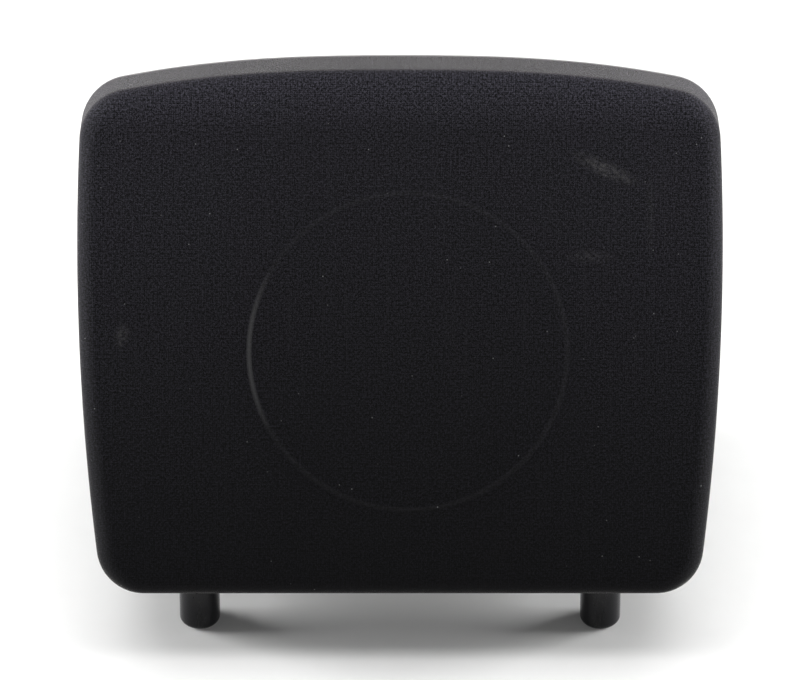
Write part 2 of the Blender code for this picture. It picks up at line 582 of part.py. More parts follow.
def build_cabinet(root, face):
    shell_paint = paint("cabinet_coat", (0.018, 0.018, 0.019), 0, 0.75)
    shell = solid("cabinet_shell", *cabinet_blank(0, 0.0), shell_paint, face)
    # EXACT leaves doubled edges where the hollow's roundings meet, so the shell is cut with MANIFOLD.
    combine(shell, "INTERSECT", *profile_blank(0), parent=root, solver="MANIFOLD")
    combine(shell, "INTERSECT", *plan_blank(0), parent=root, solver="MANIFOLD")
    hollow = combine(shell, "DIFFERENCE", *cabinet_blank(WALL, 0.02), solver="MANIFOLD")
    combine(hollow, "INTERSECT", *profile_blank(WALL), parent=root, solver="MANIFOLD")
    combine(hollow, "INTERSECT", *plan_blank(WALL), parent=root, solver="MANIFOLD")

    # The amplifier's window in the rear wall.
    window = block((AMP_WIDTH - 2 * AMP_LAP, 0.10, AMP_HEIGHT - 2 * AMP_LAP), (0, REAR_Y, AMP_Z))
    combine(shell, "DIFFERENCE", *window, parent=root)

    inset = CABINET_INSET + WALL + GAP
    plate = loft([section(inset, -GAP - BAFFLE), section(inset, -GAP)])
    baffle = solid("front_baffle", *plate, paint("baffle_board", (0.03, 0.028, 0.026), 0, 0.85), face)
    combine(baffle, "INTERSECT", *profile_blank(WALL + GAP), parent=root)
    hole = [(0, -0.05), (BAFFLE_HOLE, -0.05), (BAFFLE_HOLE, 0.05), (0, 0.05)]
    combine(baffle, "DIFFERENCE", *lathe(hole, 48), at=(DRIVER_U, DRIVER_V, 0))
    combine(baffle, "DIFFERENCE", *screw_holes(), at=(DRIVER_U, DRIVER_V, 0))

    soft = paint("port_plastic", (0.02, 0.02, 0.02), 0, 0.5)
    for side, name in ((-1, "left"), (1, "right")):
        bore = PORT_R + PORT_WALL
        tube = [
            (PORT_R, -PORT_LENGTH),
            (bore, -PORT_LENGTH),
            (bore, GAP),
            (bore + PORT_LIP, GAP),
            (bore + PORT_LIP, GAP + 0.002),
            (bore, GAP + 0.004),
            (PORT_R + 0.0005, GAP + 0.002),
            (PORT_R, -0.004),
        ]
        spot = (side * PORT_U, PORT_V, 0)
        solid(f"port_tube_{name}", *lathe(tube, 28), soft, face, spot)
        hole = [(0, -0.05), (bore + GAP, -0.05), (bore + GAP, 0.05), (0, 0.05)]
        combine(baffle, "DIFFERENCE", *lathe(hole, 28), at=spot)

    rubber = paint("rubber", (0.02, 0.02, 0.02), 0, 0.8)
    for i, (u, v) in enumerate(PEGS):
        outer = SOCKET_CUP_R
        floor = PEG_REACH + 0.0015
        cup = [
            (0, -CUP_DEPTH),
            (outer, -CUP_DEPTH),
            (outer, GAP),
            (outer + 0.002, GAP),
            (outer + 0.002, 0.0016),
            (PEG_R + GAP, 0.0016),
            (PEG_R + GAP, -floor),
            (0, -floor),
        ]
        solid(f"grille_socket_{i + 1}", *lathe(cup, 12), rubber, face, (u, v, 0))
        hole = [(0, -0.05), (outer + GAP, -0.05), (outer + GAP, 0.05), (0, 0.05)]
        combine(baffle, "DIFFERENCE", *lathe(hole, 12), at=(u, v, 0))
    return shell


def build_handle(root, shell):
    """A hand cup let into the falling top, behind the hood."""
    fall = LEAN + TOP_FALL
    spot = (0, CROWN_Y + HANDLE_DOWN * math.cos(fall), CROWN_Z - HANDLE_DOWN * math.sin(fall))
    place = empty("handle_place", root, spot, (-fall, 0, 0))
    wide, tall, deep = HANDLE_WIDTH, HANDLE_HEIGHT, HANDLE_DEPTH
    lip = rounded(wide + 2 * HANDLE_LIP, tall + 2 * HANDLE_LIP, 0.026)
    cup = loft(
        [
            [(x, y, GAP + HANDLE_SHEET) for x, y in lip],
            [(x, y, GAP) for x, y in lip],
            [(x, y, GAP) for x, y in rounded(wide, tall, 0.020)],
            [(x, y, -deep) for x, y in rounded(wide - 0.010, tall - 0.008, 0.018)],
        ]
    )
    handle = solid("hand_cup", *cup, paint("handle_plastic", (0.02, 0.02, 0.02), 0, 0.5), place)
    sheet = 1.3 * HANDLE_SHEET
    hollow = loft(
        [
            [(x, y, 0.02) for x, y in rounded(wide - sheet, tall - sheet, 0.018)],
            [(x, y, HANDLE_SHEET - deep) for x, y in rounded(wide - 0.010 - sheet, tall - 0.008 - sheet, 0.016)],
        ]
    )
    combine(handle, "DIFFERENCE", *hollow)
    cut = prism(rounded(wide + 2 * GAP, tall + 2 * GAP, 0.020 + GAP), -WALL - 0.02, 0.02)
    combine(shell, "DIFFERENCE", *cut, parent=place)


def build_feet(root, shell):
    brass = paint("insert_brass", (0.75, 0.55, 0.25), 1, 0.35)
    gloss = paint("foot_plastic", (0.012, 0.012, 0.013), 0, 0.18)
    spots = {
        "front_left": (-FOOT_X, FOOT_FRONT_Y),
        "front_right": (FOOT_X, FOOT_FRONT_Y),
        "rear_left": (-FOOT_X, FOOT_REAR_Y),
        "rear_right": (FOOT_X, FOOT_REAR_Y),
    }
    high = FOOT_HEIGHT - GAP
    bore = STUD_R + GAP
    for name, (x, y) in spots.items():
        foot = [
            (0, 0),
            (FOOT_R - 0.0035, 0),
            (FOOT_R - 0.0010, 0.0010),
            (FOOT_R, 0.0035),
            (FOOT_R, high),
            (STUD_R, high),
            (STUD_R, high + STUD),
            (0, high + STUD),
        ]
        solid(f"foot_{name}", *lathe(foot, 28), gloss, root, (x, y, 0))
        low = FOOT_HEIGHT
        sleeve = INSERT_R
        lip = INSERT_R + INSERT_LIP
        inside = low + WALL + GAP
        insert = [
            (bore, low + GAP),
            (sleeve, low + GAP),
            (sleeve, inside),
            (lip, inside),
            (lip, inside + 0.0027),
            (sleeve, inside + 0.0027),
            (sleeve, inside + 0.0097),
            (bore, inside + 0.0097),
        ]
        solid(f"foot_insert_{name}", *lathe(insert, 16), brass, root, (x, y, 0))
        hole = [(0, 0), (sleeve + GAP, 0), (sleeve + GAP, low + 2 * WALL), (0, low + 2 * WALL)]
        combine(shell, "DIFFERENCE", *lathe(hole, 16), parent=root, at=(x, y, 0))
        if name.startswith("front"):
            # The board is notched over the insert, short of its front.
            top = inside + 0.0107
            notch = [(0, low), (lip + 0.0005, low), (lip + 0.0005, top), (0, top)]
            combine(bpy.data.objects["front_baffle"], "DIFFERENCE", *lathe(notch, 16), parent=root, at=(x, y, 0))


# ---- the amplifier panel -----------------------------------------------------------------------------------
def build_amp(root, shell):
    """Drawn with X to the right, Y up and Z outwards as seen from in front of the panel, and then turned to
    face the rear, so that X runs the other way in the world."""
    place = empty("amp_place", root, (0, REAR_Y, AMP_Z), (math.pi / 2, 0, math.pi))
    metal = paint("amp_sheet", (0.03, 0.03, 0.032), 0.4, 0.5)
    low, high = GAP, GAP + AMP_SHEET
    plate = solid("amp_panel", *prism(rounded(AMP_WIDTH, AMP_HEIGHT, 0.008), low, high), metal, place)
    black = paint("socket_plastic", (0.015, 0.015, 0.015), 0, 0.35)
    front = high + GAP

    def through(radius, x, y, steps=20, target=plate):
        hole = [(0, -0.05), (radius, -0.05), (radius, 0.05), (0, 0.05)]
        combine(target, "DIFFERENCE", *lathe(hole, steps), parent=place, at=(x, y, 0))

    for name, x in zip(("input_socket_1", "input_socket_2", "link_socket"), KNOB_XS):
        barrel = [
            (0, -SOCKET_DEPTH),
            (SOCKET_R, -SOCKET_DEPTH),
            (SOCKET_R, front),
            (SOCKET_RIM, front),
            (SOCKET_RIM, front + 0.0015),
            (SOCKET_RIM - 0.001, front + 0.0025),
            (SOCKET_BORE, front + 0.0025),
            (SOCKET_BORE, 0.010 - SOCKET_DEPTH),
            (0, 0.010 - SOCKET_DEPTH),
        ]
        solid(name, *lathe(barrel, 20), black, place, (x, ROW_MIDDLE, 0))
        through(SOCKET_R + GAP, x, ROW_MIDDLE, 20)

    knob_paint = paint("knob_plastic", (0.02, 0.02, 0.02), 0, 0.4)
    pot_paint = paint("pot_metal", (0.4, 0.4, 0.4), 1, 0.4)
    for i, x in enumerate(KNOB_XS):
        base = high + 0.0010
        knob = [
            (0, -0.014),
            (SHAFT_R, -0.014),
            (SHAFT_R, base),
            (KNOB_R, base),
            (KNOB_R, base + 0.003),
            (KNOB_R - 0.0015, base + 0.0045),
            (KNOB_R - 0.0022, base + KNOB_LENGTH - 0.001),
            (KNOB_R - 0.0032, base + KNOB_LENGTH),
            (0, base + KNOB_LENGTH),
        ]
        solid(f"knob_{i + 1}", *lathe(knob, 20), knob_paint, place, (x, ROW_TOP, 0))
        pot = [
            (0, -0.0200),
            (POT_R, -0.0200),
            (POT_R, -0.0100),
            (BUSH_R, -0.0100),
            (BUSH_R, low + 0.0005),
            (SHAFT_R + GAP, low + 0.0005),
            (SHAFT_R + GAP, -0.0150),
            (0, -0.0150),
        ]
        solid(f"pot_{i + 1}", *lathe(pot, 16), pot_paint, place, (x, ROW_TOP, 0))
        through(BUSH_R + GAP, x, ROW_TOP, 16)

    def flanged(name, x, wide, tall, deep, lap_x, lap_y):
        """A box let into the panel with a flange in front."""
        spot = (x, ROW_BOTTOM, 0)
        flange = block((wide + 2 * lap_x, tall + 2 * lap_y, 0.003), (0, 0, front + 0.0015))
        made = solid(name, *flange, black, place, spot, smooth=False)
        combine(made, "UNION", *block((wide, tall, deep + 0.001), (0, 0, front + (0.001 - deep) / 2)), at=spot)
        combine(plate, "DIFFERENCE", *block((wide + 2 * GAP, tall + 2 * GAP, 0.10)), at=spot)
        return made, spot

    inlet, spot = flanged("power_inlet", INLET_X, INLET_WIDTH, INLET_HEIGHT, 0.025, 0.0100, 0.0040)
    mouth = rounded(INLET_WIDTH - 2 * INLET_WALL, INLET_HEIGHT - 2 * INLET_WALL, 0.003)
    combine(inlet, "DIFFERENCE", *prism(mouth, front - 0.017, front + 0.01), at=spot)

    housing, spot = flanged("switch_housing", SWITCH_X, SWITCH_WIDTH, SWITCH_HEIGHT, 0.017, 0.0015, 0.0018)
    room_x, room_y = SWITCH_WIDTH - 2 * SWITCH_WALL, SWITCH_HEIGHT - 2 * SWITCH_WALL + 0.0005
    combine(housing, "DIFFERENCE", *block((room_x, room_y, 0.0240), (0, 0, front - 0.0030)), at=spot)
    # The rocker turns about its own X axis, at the origin of its mesh, and rests pressed at its lower end.
    wide, long = room_x / 2 - TURN_PLAY, room_y / 2 - TURN_PLAY
    lip = 0.0062
    reach = math.sqrt(long**2 - lip**2)
    shape = [(-reach, lip), (0, lip / 2), (reach, lip), (0.76 * reach, -lip), (-0.76 * reach, -lip)]
    rocker = loft([[(x, y, z) for y, z in shape] for x in (-wide, wide)])
    pivot = (SWITCH_X, ROW_BOTTOM, front + 0.0005)
    solid("power_rocker", *rocker, paint("rocker_plastic", (0.02, 0.02, 0.02), 0, 0.3), place, pivot,
          (math.radians(-8), 0, 0), smooth=False)

    rim = LED_R + 0.0008
    lens = [(0, -0.006), (LED_R, -0.006), (LED_R, front), (rim, front), (rim - 0.0004, front + 0.0012)]
    lens += [(0, front + 0.0022)]
    solid("led_lens", *lathe(lens, 12), paint("led_blue", (0.1, 0.3, 0.8), 0, 0.2), place, (LED_X, ROW_TOP, 0))
    through(LED_R + GAP, LED_X, ROW_TOP, 12)

    sink = solid("heat_sink", *block((SINK_WIDTH, SINK_HEIGHT, SINK_BASE), (0, 0, front + SINK_BASE / 2)),
                 paint("sink_aluminium", (0.04, 0.04, 0.042), 0.8, 0.45), place, (SINK_X, 0, 0), smooth=False)
    tall = SINK_DEPTH - SINK_BASE + 0.001
    spread = SINK_WIDTH - FIN - 0.0008
    fin = block((FIN, SINK_HEIGHT, tall), (0, 0, front + SINK_BASE - 0.001 + tall / 2))
    spots = [((i / (FINS - 1) - 0.5) * spread, 0) for i in range(FINS)]
    combine(sink, "UNION", *around(fin, spots), at=(SINK_X, 0, 0))

    board = block((BOARD_WIDTH, BOARD_HEIGHT, BOARD_SHEET), (0, 0, -BOARD_BACK))
    solid("amp_board", *board, paint("board_green", (0.02, 0.12, 0.05), 0, 0.5), place, smooth=False)

    head = paint("black_screw", (0.03, 0.03, 0.03), 1, 0.4)
    for i, (x, y) in enumerate(AMP_SCREWS):
        wide = 2.1 * AMP_SCREW_R
        screw = [(0, -AMP_SCREW_IN), (AMP_SCREW_R, -AMP_SCREW_IN), (AMP_SCREW_R, front), (wide, front)]
        screw += [(wide, front + 0.0008), (0.65 * wide, front + 0.0020), (0, front + 0.0020)]
        solid(f"amp_screw_{i + 1}", *lathe(screw, 10), head, place, (x, y, 0))
        through(AMP_SCREW_R + SCREW_PLAY, x, y, 10)
        through(AMP_SCREW_R + SCREW_PLAY, x, y, 10, shell)


def build_inside(root):
    floor = FOOT_HEIGHT + WALL + GAP
    wide, tall = COIL_RING_R, COIL_RING_HEIGHT
    ring = [(wide / 3, 0), (wide - 0.004, 0), (wide, 0.004), (wide, tall - 0.004), (wide - 0.004, tall)]
    ring += [(wide / 3, tall)]
    beside = -(MAGNET_R - DRIVER_U + 0.0385)
    middle = REAR_Y - BOARD_BACK - 0.087
    solid("transformer", *lathe(ring, 28), paint("winding", (0.35, 0.2, 0.05), 0, 0.5), root,
          (beside, middle, floor))
    left = beside + wide + 0.022
    pad = prism(rounded(PAD_WIDTH, PAD_LENGTH, 0.010), 0, PAD_SHEET)
    solid("damping_pad", *pad, paint("foam", (0.08, 0.08, 0.08), 0, 0.95), root,
          (left + PAD_WIDTH / 2, middle - 0.020, floor))


def stand_on_floor(root):
    """Moves the whole object so that its box is centred on the origin and stands on the floor."""
    bpy.context.view_layer.update()
    graph = bpy.context.evaluated_depsgraph_get()
    low, high = np.full(3, 9.0), np.full(3, -9.0)
    for thing in bpy.data.objects:
        if thing.type != "MESH" or thing.hide_render:
            continue
        made = thing.evaluated_get(graph)
        mesh = made.to_mesh()
        corners = np.empty(3 * len(mesh.vertices), np.float32)
        mesh.vertices.foreach_get("co", corners)
        made.to_mesh_clear()
        turn = np.array(made.matrix_world)
        corners = corners.reshape(-1, 3) @ turn[:3, :3].T + turn[:3, 3]
        low, high = np.minimum(low, corners.min(0)), np.maximum(high, corners.max(0))
    root.location = (-(low[0] + high[0]) / 2, -(low[1] + high[1]) / 2, -low[2])


clear()
monitor = empty("monitor")
face_place = empty("face_place", monitor, (0, HOOD_DEPTH * math.cos(LEAN), LIFT), (math.pi / 2 - LEAN, 0, 0))
driver_place = empty("driver_place", face_place, (DRIVER_U, DRIVER_V, 0))
build_hood(face_place)
build_driver(driver_place)
cabinet = build_cabinet(monitor, face_place)
build_handle(monitor, cabinet)
build_feet(monitor, cabinet)
build_amp(monitor, cabinet)
build_inside(monitor)
stand_on_floor(monitor)
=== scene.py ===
# %% [markdown]
# # A stage monitor wedge under stretch cloth
#
# This lesson dresses a packed model of a small powered stage monitor. A monitor wedge lies on the stage and
# leans its face back towards the performer. The whole face is a hood, a plastic tray with stretch cloth
# pulled over its front and its skirt. Behind it are a ten inch driver, two ports, and an amplifier on the
# rear wall.
#
# The packed model already has every piece at its real size and place. What is made here is the looks: the
# cloth, the feet, the detail of the rear panel, and a material for everything.

# %% Load the packed model
import json
import math

import bmesh
import bpy
import numpy as np
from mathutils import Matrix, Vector


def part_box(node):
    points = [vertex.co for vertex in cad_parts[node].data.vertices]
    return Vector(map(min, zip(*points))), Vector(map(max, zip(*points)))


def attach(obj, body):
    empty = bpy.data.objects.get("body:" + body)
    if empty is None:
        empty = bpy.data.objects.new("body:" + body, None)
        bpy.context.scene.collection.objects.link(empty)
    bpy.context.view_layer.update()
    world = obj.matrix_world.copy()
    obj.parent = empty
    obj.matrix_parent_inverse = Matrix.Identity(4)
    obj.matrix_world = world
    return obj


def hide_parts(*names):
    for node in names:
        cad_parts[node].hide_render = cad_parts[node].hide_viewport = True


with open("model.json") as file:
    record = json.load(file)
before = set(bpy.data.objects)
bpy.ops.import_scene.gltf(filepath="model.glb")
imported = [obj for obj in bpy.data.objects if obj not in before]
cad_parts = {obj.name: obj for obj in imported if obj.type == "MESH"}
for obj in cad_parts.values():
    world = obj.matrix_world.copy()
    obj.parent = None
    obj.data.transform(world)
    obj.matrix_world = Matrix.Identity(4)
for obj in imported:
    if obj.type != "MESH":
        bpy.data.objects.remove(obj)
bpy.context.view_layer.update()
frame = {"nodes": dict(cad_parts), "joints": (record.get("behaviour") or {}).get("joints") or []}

# %% [markdown]
# ## Where the face is
#
# The hood slides straight out of the face, so the axis of that joint is the face's own outward direction. The
# hood's box gives the rest: how wide and how deep it is, and where its lower edge lies. With these three
# directions a point can be given as so far across, so far up the face and so far out of it.

# %% The face's directions and origin
pull = next(j for j in frame["joints"] if j["name"] == "grille_pull")
OUT = Vector(pull["axis"]).normalized()
ACROSS = Vector((1, 0, 0))
UP = OUT.cross(ACROSS)
LEAN = math.atan2(OUT.z, -OUT.y)

HOOD_DEPTH = 0.052  # from the cabinet's front edge to the cloth
EDGE_ROLL = 0.014  # rounding between the front and the skirt
hood_low, hood_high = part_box("grille_cloth")
HOOD_WIDTH = hood_high[0] - hood_low[0]
lowest_front = (HOOD_DEPTH - EDGE_ROLL) * math.cos(LEAN) - EDGE_ROLL * math.sin(LEAN) + EDGE_ROLL
BACK_GAP = 0.0006  # the hood stands this far off the cabinet
ORIGIN = Vector((0, hood_low[1] + lowest_front, hood_low[2] - BACK_GAP * math.sin(LEAN)))


def on_face(u, v, w=0.0):
    """The world place of a point across, up and out of the face."""
    return ORIGIN + float(u) * ACROSS + float(v) * UP + float(w) * OUT


print(f"the face leans back {math.degrees(LEAN):.1f} degrees and is {HOOD_WIDTH:.3f} m wide")

# %% [markdown]
# ## Making a piece
#
# Most pieces are surfaces joined from loops of points, or a profile turned round an axis. Both come down to a
# list of points and a list of faces, so one small function turns these into an object, gives it a material,
# names the body that it moves with, and hides the packed nodes that it stands for. Blender's own primitives
# and modifiers could do much of this, but then the sizes would be spread over many settings, and here they stay
# together as lists of points.


# %% A mesh piece from points and faces
def piece(name, points, faces, material, body, stands_for=(), crease=40.0):
    mesh = bpy.data.meshes.new(name)
    mesh.from_pydata([tuple(p) for p in points], [], faces)
    mesh.validate()
    mesh.shade_smooth()
    mesh.set_sharp_from_angle(angle=math.radians(crease))
    made = bpy.data.objects.new(name, mesh)
    bpy.context.scene.collection.objects.link(made)
    made.data.materials.append(material)
    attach(made, body)
    if stands_for:
        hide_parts(*stands_for)
    return made


print("a piece's shading turns sharp at edges over", piece.__defaults__[1], "degrees, unless it says otherwise")


# %% Loops joined into a surface, and profiles turned round an axis
def loft(loops, closed_ends=(True, True)):
    """Closed loops of equally many points, joined into one surface."""
    count = len(loops[0])
    points = [p for loop in loops for p in loop]
    faces = []
    for k in range(len(loops) - 1):
        for i in range(count):
            j = (i + 1) % count
            faces.append((k * count + i, k * count + j, (k + 1) * count + j, (k + 1) * count + i))
    if closed_ends[0]:
        faces.append(tuple(reversed(range(count))))
    if closed_ends[1]:
        faces.append(tuple(range((len(loops) - 1) * count, len(loops) * count)))
    return points, faces


def turned(profile, steps=64, ribs=None):
    """A profile of (radius, height) turned round Z. ribs(angle, radius) may change the radius on the way."""
    loops = []
    for radius, height in profile:
        loop = []
        for i in range(steps):
            angle = 2 * math.pi * i / steps
            wide = ribs(angle, radius) if ribs else radius
            loop.append(Vector((wide * math.cos(angle), wide * math.sin(angle), height)))
        loops.append(loop)
    return loft(loops)


print("a drum turned in 8 steps has", len(turned([(1, 0), (1, 1)], 8)[1]), "faces")


# %% Move, join and cut blocks
def moved(shape, at, x=(1, 0, 0), z=(0, 0, 1)):
    """A shape's points, with its own Z and X turned to these directions and its origin moved to at."""
    z = Vector(z).normalized()
    x = Vector(x).normalized()
    y = z.cross(x)
    points, faces = shape
    return [Vector(at) + x * p[0] + y * p[1] + z * p[2] for p in map(Vector, points)], faces


def joined(shapes):
    """Several shapes as one list of points and one of faces."""
    points, faces = [], []
    for more_points, more_faces in shapes:
        start = len(points)
        points += more_points
        faces += [tuple(start + i for i in face) for face in more_faces]
    return points, faces


def block(low, high, soften=0.0):
    """A box between two corners, with its four upright edges cut back by soften."""
    (x0, y0, z0), (x1, y1, z1) = low, high
    c = soften
    ring = [(x0 + c, y0), (x1 - c, y0), (x1, y0 + c), (x1, y1 - c), (x1 - c, y1), (x0 + c, y1), (x0, y1 - c)]
    ring += [(x0, y0 + c)]
    if not c:
        ring = [(x0, y0), (x1, y0), (x1, y1), (x0, y1)]
    return loft([[Vector((x, y, z)) for x, y in ring] for z in (z0, z1)])


plain, softened = block((0, 0, 0), (1, 1, 1)), block((0, 0, 0), (1, 1, 1), 0.1)
print("a block has", len(plain[1]), "faces, and", len(softened[1]), "when its upright edges are softened")

# %% [markdown]
# ## Materials from nodes
#
# Every finish is built from noise and simple patterns, at the scale of the real surface, in metres. A small
# helper class keeps the node code short: each call adds a node, sets its values, and links what is given.


# %% A short way to write node trees
class Finish:
    """A material whose nodes are added by short calls."""

    def __init__(self, name, colour, roughness=0.5, metallic=0.0, **sockets):
        self.material = bpy.data.materials.new(name)
        self.material.use_nodes = True
        self.tree = self.material.node_tree
        self.shader = self.tree.nodes["Principled BSDF"]
        self.shader.inputs["Base Color"].default_value = (*colour, 1)
        self.shader.inputs["Roughness"].default_value = roughness
        self.shader.inputs["Metallic"].default_value = metallic
        for socket, value in sockets.items():
            self.shader.inputs[socket.replace("_", " ")].default_value = value
        self.material.diffuse_color = (*colour, 1)

    def add(self, kind, settings=(), **inputs):
        """Adds a node. _0, _1 and so on name a socket by its number, and other names by its label."""
        node = self.tree.nodes.new(kind)
        for key, value in dict(settings).items():
            setattr(node, key, value)
        for key, value in inputs.items():
            spot = node.inputs[int(key[1:])] if key[0] == "_" else node.inputs[key.replace("_", " ")]
            if isinstance(value, bpy.types.NodeSocket):
                self.tree.links.new(value, spot)
            else:
                spot.default_value = value
        return node

    def place(self, stretch=(1, 1, 1), source="Object"):
        coordinates = self.add("ShaderNodeTexCoord").outputs[source]
        return self.add("ShaderNodeMapping", Vector=coordinates, Scale=stretch).outputs[0]

    def noise(self, scale, detail=3.0, rough=0.55, at=None):
        at = at or self.place()
        made = self.add("ShaderNodeTexNoise", Vector=at, Scale=scale, Detail=detail, Roughness=rough)
        return made.outputs[0]

    def cells(self, scale, feature="F1", at=None, random=1.0):
        at = at or self.place()
        settings = {"feature": feature}
        made = self.add("ShaderNodeTexVoronoi", settings, Vector=at, Scale=scale, Randomness=random)
        return made.outputs["Distance"]

    def maths(self, operation, a, b=0.0, c=0.0):
        return self.add("ShaderNodeMath", {"operation": operation}, _0=a, _1=b, _2=c).outputs[0]

    def ramp(self, value, low, high, start=0.0, end=1.0):
        """value from low..high spread over start..end, and held there outside."""
        return self.add("ShaderNodeMapRange", _0=value, _1=low, _2=high, _3=start, _4=end).outputs[0]

    def mix(self, factor, a, b, blend="MIX"):
        node = self.add("ShaderNodeMix", {"data_type": "RGBA", "blend_type": blend}, _0=factor, _6=a, _7=b)
        return node.outputs[2]

    def bump(self, height, depth, strength=1.0):
        node = self.add("ShaderNodeBump", Height=height, Distance=depth, Strength=strength)
        self.tree.links.new(node.outputs[0], self.shader.inputs["Normal"])

    def into(self, socket, value):
        self.tree.links.new(value, self.shader.inputs[socket])


print("a finish can be built from", len([name for name in vars(Finish) if name[0] != "_"]), "short calls")


# %% A lighter or darker shade
def shade(colour, times):
    """The same colour, lighter or darker, with its alpha."""
    return (*[min(1.0, c * times) for c in colour], 1)


print("half of mid grey is", shade((0.5, 0.5, 0.5), 0.5))

# %% [markdown]
# ## Moulded plastic and coated metal
#
# Moulded plastic has a fine spark-eroded grain, and handling leaves it a little shinier in patches. The same
# recipe at other scales gives powder coat, nylon and rubber, so it is one function: a fine grain for the
# bump, a slow noise for the colour, and another for the shine.


# %% Plastics, rubbers and coats
def grained(name, colour, roughness, grain, depth, metallic=0.0, vary=0.25, **sockets):
    """grain is the number of grains in a metre, depth their height in metres."""
    made = Finish(name, colour, roughness, metallic, **sockets)
    slow = made.ramp(made.noise(14, 4), 0.3, 0.7)
    made.into("Base Color", made.mix(slow, shade(colour, 1 - vary), shade(colour, 1 + vary)))
    handled_patches = made.noise(42, 5, 0.6)
    made.into("Roughness", made.ramp(handled_patches, 0.25, 0.75, roughness - 0.07, roughness + 0.09))
    made.bump(made.noise(grain, 2.0, 0.6), depth)
    return made


frame_plastic = grained("frame_plastic", (0.020, 0.020, 0.021), 0.55, 2600, 0.00012)
port_plastic = grained("port_plastic", (0.018, 0.018, 0.019), 0.42, 3200, 0.00006)
handle_plastic = grained("handle_plastic", (0.020, 0.020, 0.021), 0.50, 1800, 0.00015)
socket_nylon = grained("socket_nylon", (0.016, 0.016, 0.017), 0.38, 3000, 0.00006)
knob_plastic = grained("knob_plastic", (0.020, 0.020, 0.021), 0.42, 2600, 0.00007)
rocker_gloss = grained("rocker_gloss", (0.016, 0.016, 0.017), 0.22, 900, 0.00002, vary=0.1)
soft_rubber = grained("soft_rubber", (0.022, 0.022, 0.022), 0.72, 1500, 0.00012)
powder_coat = grained("powder_coat", (0.015, 0.015, 0.016), 0.52, 2200, 0.00016, Specular_IOR_Level=0.3)
driver_paint = grained("driver_paint", (0.028, 0.028, 0.029), 0.45, 1800, 0.00010, metallic=0.2)
ferrite = grained("ferrite", (0.045, 0.045, 0.050), 0.62, 1200, 0.00020)
print("ten grained finishes, from", frame_plastic.material.name, "to", ferrite.material.name)

# %% [markdown]
# ## Metals, boards and the parts behind the hood
#
# Metals get their grain by stretching noise along one direction, as rolling or brushing does. The board under
# the driver is stained plywood, the cone is pressed paper with long fibres, and the winding is fine wire side
# by side, so each has a pattern of its own.


# %% Metals
def brushed(name, colour, roughness, along, grain=900, metallic=1.0, depth=0.00003):
    """along is the stretch of the noise: small along the brushing and 1 across it."""
    made = Finish(name, colour, roughness, metallic)
    streaks = made.noise(grain, 2.0, 0.7, at=made.place(stretch=along))
    made.into("Roughness", made.ramp(streaks, 0.3, 0.7, roughness - 0.08, roughness + 0.12))
    stains = made.noise(60, 4)
    made.into("Base Color", made.mix(made.ramp(stains, 0.35, 0.7), shade(colour, 0.85), shade(colour, 1.12)))
    made.bump(streaks, depth)
    return made


zinc_steel = brushed("zinc_steel", (0.42, 0.42, 0.43), 0.34, (0.05, 1, 1))
screw_steel = brushed("screw_steel", (0.045, 0.045, 0.047), 0.38, (1, 1, 0.2), metallic=0.8)
thread_brass = brushed("thread_brass", (0.70, 0.50, 0.20), 0.34, (1, 1, 0.1))
contact_gold = brushed("contact_gold", (0.80, 0.58, 0.22), 0.25, (1, 0.1, 1))
black_anodised = brushed(
    "black_anodised", (0.026, 0.026, 0.028), 0.42, (1, 1, 0.03), metallic=0.7, depth=0.00008
)
pot_steel = brushed("pot_steel", (0.40, 0.40, 0.41), 0.36, (1, 0.1, 1))
blade_nickel = brushed("blade_nickel", (0.55, 0.54, 0.50), 0.30, (1, 0.1, 1))
print("seven metals, from", zinc_steel.material.name, "to", blade_nickel.material.name)

# %% Board, paper, cloth disc, winding and foam
baffle_stain = Finish("baffle_stain", (0.028, 0.026, 0.024), 0.7)
plies = baffle_stain.noise(120, 5, 0.6, at=baffle_stain.place(stretch=(0.06, 1, 1)))
baffle_stain.into("Base Color", baffle_stain.mix(plies, (0.016, 0.015, 0.014, 1), (0.045, 0.041, 0.037, 1)))
baffle_stain.bump(plies, 0.0003)

cone_paper = Finish("cone_paper", (0.030, 0.030, 0.032), 0.78)
fibres = cone_paper.noise(700, 5, 0.75)
cone_paper.into("Base Color", cone_paper.mix(fibres, (0.018, 0.018, 0.019, 1), (0.050, 0.050, 0.053, 1)))
cone_paper.bump(fibres, 0.00025)

spider_cloth = Finish("spider_cloth", (0.34, 0.24, 0.12), 0.85)
threads = spider_cloth.cells(900)
spider_cloth.into("Base Color", spider_cloth.mix(threads, (0.24, 0.16, 0.08, 1), (0.45, 0.33, 0.18, 1)))
spider_cloth.bump(threads, 0.0002)

copper_winding = Finish("copper_winding", (0.55, 0.24, 0.10), 0.32, 0.9)
turns = copper_winding.add(
    "ShaderNodeTexWave", {"wave_type": "BANDS", "bands_direction": "Z"},
    Vector=copper_winding.place(), Scale=600, Distortion=0.3,
).outputs["Fac"]
copper_winding.into("Base Color", copper_winding.mix(turns, (0.35, 0.14, 0.05, 1), (0.62, 0.29, 0.13, 1)))
copper_winding.bump(turns, 0.0002)

solder_mask = Finish("solder_mask", (0.012, 0.10, 0.045), 0.35)
tracks = solder_mask.cells(160, "DISTANCE_TO_EDGE", random=0.4)
between = solder_mask.ramp(tracks, 0.02, 0.06)
solder_mask.into("Base Color", solder_mask.mix(between, (0.03, 0.19, 0.09, 1), (0.010, 0.085, 0.04, 1)))
solder_mask.bump(tracks, 0.0001)

open_foam = Finish("open_foam", (0.07, 0.07, 0.072), 0.95)
pores = open_foam.cells(420)
open_foam.into("Base Color", open_foam.mix(pores, (0.02, 0.02, 0.02, 1), (0.11, 0.11, 0.115, 1)))
open_foam.bump(pores, 0.0015)
print("board, cone paper, spider cloth, winding, circuit board and foam have a finish")

